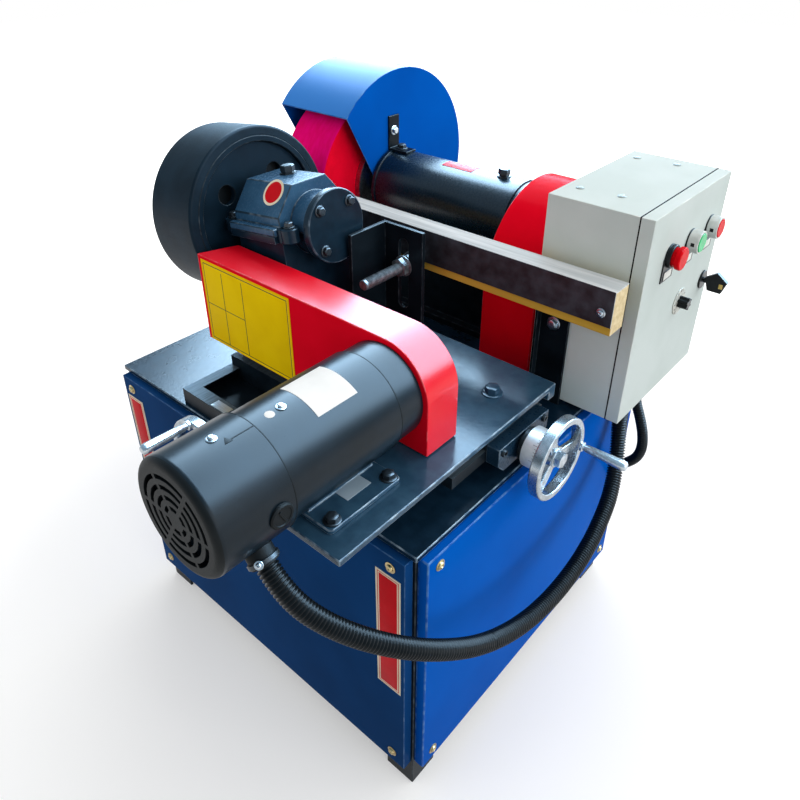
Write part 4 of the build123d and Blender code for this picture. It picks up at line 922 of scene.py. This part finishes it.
# The closing plate is matt black: painted shade seen through the web's holes.
back_plate_painted_shade = turned("web_back_plate_painted_shade", [(99, -3), (100, -2.4), (100, -0.6), (99, 0), (60, 0), (59, -0.4)], 64)
set_at(back_plate_painted_shade, on_gear(-84.2, 0, 0), shaft_way)
joined("web_back_plate_painted_shade", [back_plate_painted_shade], "feed_roll", "dark_paint", grille_plastic)

# Work rest: slotted angle post, threaded stud with nuts, and a timber board faced with bent steel.
# The stud is set higher or lower in the post's slot for pipe of another size.
dressed("rest_post", 1.2, black_enamel, edge_wear_and_highlight=black_edge_wear_and_highlight)
stud_x, stud_z, thread_pitch, thread_turns = -249.5, 668.4, 2.0, 56
threads = [(6.6, 0), (7.9, 1.5)]
for number in range(thread_turns):
    crest = thread_pitch * (number + 1)
    threads += [(8.0, crest), (7.0, crest + thread_pitch / 2)]
threads += [(7.4, 117.0), (6.6, 118.0)]
stud = [set_at(turned("stud", threads, 20), spot(stud_x, 300, stud_z), (0, -1, 0))]
for back in (266, 284):
    for wide, low, high, sides in ((15.5, 0, 2.4, 28), (13.85, 2.4, 12, 6)):
        ring = [(wide, low), (wide, high - 0.8), (wide - 1.2, high), (wide * 0.5, high)]
        stud.append(set_at(turned("nut", ring, sides), spot(stud_x, back, stud_z), (0, -1, 0)))
# Rolled thread: duller than the turned parts, grey with oil in the roots.
rolled_steel = surface(
    "rolled_thread_steel", "#84898c", "#5b6165",
    patch=6, grain=1.4, depth=0.02, rough=0.42, metal=0.7,
)
joined("rest_stud_threaded", stud, "table", "steel", rolled_steel)
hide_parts("rest_stud")
# Bent bright steel strip: brushed along its length on top and pale there with painted sky light; dark rolling
# skin in front, darkened further with painted shade.
rest_steel_painted_sky_light = surface(
    "brushed_steel_painted_sky_light", "#d0d4d5", "#b2b8ba",
    patch=26, grain=1.4, depth=0.012, rough=0.5, ior=1.04, stretch=(0.15, 3, 3),
)
mill_skin_painted_shade = surface(
    "mottled_rolling_skin_painted_shade", "#2c2a2f", "#40454d",
    patch=22, grain=3.0, depth=0.02, rough=0.34, metal=0.3, ior=1.3,
)
# The pale top and the dark front are painted light and shade on one bent steel strip.
facing = dressed("rest_facing", 0.6, rest_steel_painted_sky_light, mill_skin_painted_shade)
coat_where(facing, 1, lambda c, n: n.y < -0.7)
# Planed softwood, varnished mustard: long grain along the rest and pale ends.
timber = surface(
    "varnished_softwood", "#d6b04a", "#bf9a3a",
    patch=30, grain=6.0, depth=0.05, rough=0.45, ior=1.1, stretch=(0.06, 1, 1),
)
end_grain = surface("softwood_end_grain", "#d8c290", "#c4aa74", patch=8, grain=2.0, depth=0.04, rough=0.6)
board = dressed("rest_board", 1.0, timber, end_grain)
coat_where(board, 1, lambda c, n: abs(n.x) > 0.7)
scattered("rest_screw", pan_screw(4.0), [spot(41, 300, 683)], (0, -1, 0), "table", "steel", bright_zinc)

# Spindle: thick steel tube on a cast cradle, black gloss enamel, with a sealing ring at each end.
# The shaft runs through it, and its oil plug is a hexagon on top.
spindle_enamel = surface(
    "black_gloss_enamel", "#061a28", "#0a2334",
    patch=90, grain=3.4, depth=0.02, rough=0.27, ior=1.4,
)
dressed("spindle_housing", 2.0, spindle_enamel, edge_wear_and_highlight=gear_edge_wear_and_highlight)
dressed("spindle_cradle", 2.0, casting_paint, edge_wear_and_highlight=black_edge_wear_and_highlight)
dressed("spindle_shaft", 1.0, turned_steel)
ring_steps = [(60.5, 0), (62.4, 0.8), (62.4, 6), (60.5, 7)]
spindle_y, spindle_z = 497, 683
ends = [spot(x, spindle_y, spindle_z) for x in (-204, -470)]
rings = [set_at(turned("end_ring", ring_steps, 64), end, (1, 0, 0)) for end in ends]
joined("housing_end_rings", rings, "cabinet", "dark_paint", spindle_enamel)
steps = [(11, -1), (11, 2), (8, 2.5), (8, 4), (9.5, 4.2), (9.5, 12), (8.2, 13.4), (3, 13.4)]
plug = set_at(turned("oil_plug", steps, 6), spot(-240, spindle_y, 743), (0, 0, 1))
joined("oil_plug", [plug], "cabinet", "steel", black_steel)


def round_spindle(turn, along, radius):
    """A place on the spindle housing, at a turn from its back up over its top."""
    out = Vector((0, cos(radians(turn)), sin(radians(turn))))
    return spot(along, spindle_y, spindle_z) + out * radius / 1000, out


patch = wrapped("housing_foil", round_spindle, 60.2, (82, 103), (-354, -294), red_foil)
joined("housing_foil", [patch], "cabinet", "red_paint")

# Abrasive wheel: many discs of red abrasive cloth packed between two flanges.
# Cut cloth edges: saturated pink-red, fibrous, with lines round the wheel where discs meet; their pink, paler
# than the red faces, is painted sky light.
abrasive_tread_painted_sky_light = surface(
    "abrasive_cloth_painted_sky_light", "#ff0a80", "#f80a6e",
    patch=18, grain=2.0, depth=0.2, rough=0.85, ior=1.05, stretch=(3, 1, 1),
)
abrasive_side = surface(
    "abrasive_cloth_face", "#ff0830", "#f4082c",
    patch=24, grain=1.6, depth=0.08, rough=0.85, ior=1.05,
)
cloth = dressed("abrasive_wheel", 1.0, abrasive_tread_painted_sky_light, abrasive_side)
coat_where(cloth, 1, lambda c, n: abs(n.x) > 0.7)

# Wheel hood: rolled blue sheet with flat cheeks, on a small bent bracket with two bolts.
# The rolled sheet has a paler blue than the cheeks: painted sheen of the sky, which the sheet, seen so flatly,
# shows more than the cheeks do.
hood_roll_painted_sky_sheen = surface(
    "hood_blue_painted_sky_sheen", "#3a82d4", "#3478c8",
    patch=200, grain=2.4, depth=0.012, rough=0.38, ior=1.12,
)
hood = dressed("wheel_hood", 0.8, blue_enamel, hood_roll_painted_sky_sheen, edge_wear_and_highlight=blue_edge_wear_and_highlight)
coat_where(hood, 1, lambda c, n: abs(n.x) < 0.7)
dressed("hood_bracket", 0.8, black_enamel, edge_wear_and_highlight=black_edge_wear_and_highlight)
places = [spot(-470, 495, 776)]
scattered("bracket_bolt", hex_bolt(10, 6, 8), places, (1, 0, 0), "cabinet", "steel", bright_zinc)
places = [spot(-453, spindle_y, 747)]
scattered("bracket_foot_bolt", hex_bolt(13, 7, 10), places, (0, 0, 1), "cabinet", "steel", phosphate)

# Spindle belt guard: folded sheet arch in red gloss enamel.
# It stands on the deck over the belt at the spindle's right end.
dressed("spindle_belt_guard", 2.0, red_enamel, edge_wear_and_highlight=red_edge_wear_and_highlight)

# Control box: folded sheet with a tray door, on an angle stand, its top holes closed by plugs.
# Powder coat: pale grey-green with an orange-peel skin.
powder = surface(
    "grey_green_powder_coat", "#ced8d6", "#c5d0cd",
    patch=120, grain=2.2, depth=0.02, rough=0.42, ior=1.02,
)
# Its edges in short lighter runs: rubbed coat, and a painted highlight along the edge.
powder_edge_wear_and_highlight = surface(
    "powder_coat_edge_wear_and_highlight", "#cad4d1", "#e0e6e3",
    patch=20, grain=2.0, depth=0.01, rough=0.4, ior=1.03, bare=(0.42, 0.66),
)
dressed("control_box", 2.0, powder, edge_wear_and_highlight=powder_edge_wear_and_highlight)
dressed("box_door", 3.0, powder, edge_wear_and_highlight=powder_edge_wear_and_highlight)
dressed("box_stand", 1.0, black_enamel, edge_wear_and_highlight=black_edge_wear_and_highlight)
dressed("hose_glands", 1.2, grille_plastic)
places = [spot(-49, 355, 611)]
scattered("stand_bolt", hex_bolt(13, 7, 10), places, (0, -1, 0), "cabinet", "steel", bright_zinc)
# Foam gasket on the box's rim, a thin black line all round the door.
foam = surface(
    "black_foam_rubber", "#0c0e0f", "#141718",
    patch=8, grain=1.5, depth=0.05, rough=0.8, ior=1.1,
)
strips = (
    ((45.2, 358.8, 489), (46.5, 360.4, 791)), ((45.2, 605.6, 489), (46.5, 607.2, 791)),
    ((45.2, 360.6, 789.6), (46.5, 605.4, 791.2)), ((45.2, 360.6, 488.8), (46.5, 605.4, 490.4)),
)
gasket = [block("strip", low, high, 0.15) for low, high in strips]
joined("door_gasket", gasket, "cabinet", "black_plastic", foam)
grey_plug = surface(
    "grey_polyethylene", "#9aa19c", "#8d948f",
    patch=10, grain=1.2, depth=0.01, rough=0.45, ior=1.15,
)
plugs = [spot(-60.5, 403, 791), spot(-62, 575, 791), spot(-4, 581, 791), spot(-4, 409, 791)]
dome = turned("hole_plug", [(5.6, 0), (5.6, 0.6), (4.8, 1.3), (2.4, 1.8), (1.0, 1.9)], 24)
scattered("top_plugs", dome, plugs, (0, 0, 1), "cabinet", "black_plastic", grey_plug)

# Door controls: three push buttons on legend plates, a speed knob on a scale and a key switch.
# Moulded ABS for the plates and knob, frosted polycarbonate rings round the flush caps.
black_abs = surface(
    "black_abs", "#0d0f11", "#141719",
    patch=20, grain=1.0, depth=0.008, rough=0.34, ior=1.3,
)
pale_ring = surface(
    "frosted_polycarbonate", "#d9ddda", "#c6ccc8",
    patch=10, grain=1.0, depth=0.006, rough=0.25, ior=1.2,
)
red_cap = surface(
    "red_polycarbonate", "#e20a18", "#d20814",
    patch=12, grain=1.2, depth=0.006, rough=0.25, ior=1.08,
)
green_cap = surface(
    "green_polycarbonate", "#12bd72", "#0fae67",
    patch=12, grain=1.2, depth=0.006, rough=0.22, ior=1.2,
)
white_card = surface(
    "white_label_card", "#eceee9", "#e2e5df",
    patch=12, grain=1.2, depth=0.004, rough=0.5, ior=1.1,
)
dressed("legend_plates", 0.6, black_abs)
dressed("button_collars", 0.8, pale_ring)
dressed("halt_collar", 0.8, black_abs)
dressed("halt_button", 1.5, red_cap)
dressed("start_button", 0.8, green_cap)
dressed("stop_button", 0.8, red_cap)
button_y = (427, 494, 561)
for number, y in enumerate(button_y):
    low, high = (66.9, y - 13, 690), (67.6, y + 13, 704)
    piece = foil(f"legend_field_{number + 1}", low, high, (1, 0, 0), (1.4,), black_abs, white_card)
    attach(piece, "door")
notches = [block("notch", (72, y - 16.4, 721), (77, y - 14, 726), 0.4) for y in button_y[1:]]
joined("collar_notches", notches, "door", "black_plastic", black_abs)
# Matt anodised aluminium for the scale, so that its printed lines read.
scale_metal = surface(
    "matt_anodised_aluminium", "#c6c6be", "#b4b4ab",
    patch=8, grain=1.0, depth=0.004, rough=0.5, metal=0.2, ior=1.1,
)
dials = dressed("door_dials", 0.5, scale_metal, black_abs)
key_side = 0.31
coat_where(dials, 1, lambda c, n: c.y > key_side)
# Printed lines round the knob's scale.
ticks = []
for number in range(11):
    outer_end = 19 if number % 5 == 0 else 17.6
    tick = loose_block("tick", (-0.35, 15.2, 0), (0.35, outer_end, 0.3), 0.05)
    tick.data.transform(Matrix.Rotation(radians(150 - 30 * number), 4, "Z"))
    ticks.append(set_at(tick, spot(66.8, 501, 627), (1, 0, 0)))
joined("scale_lines", ticks, "door", "black_plastic", dark_ink)
dressed("speed_knob", 0.8, black_abs)
dressed("door_key", 1.0, black_abs)
# Brass insert that shows in the key's grip.
brass = surface("brass", "#cdb26a", "#b89a55", patch=5, grain=1.0, depth=0.006, rough=0.3, metal=1.0)
insert = block("key_insert", (92.5, 579.7, 625), (98, 588.3, 632.5), 0.3)
joined("key_insert", [insert], "key", "steel", brass)
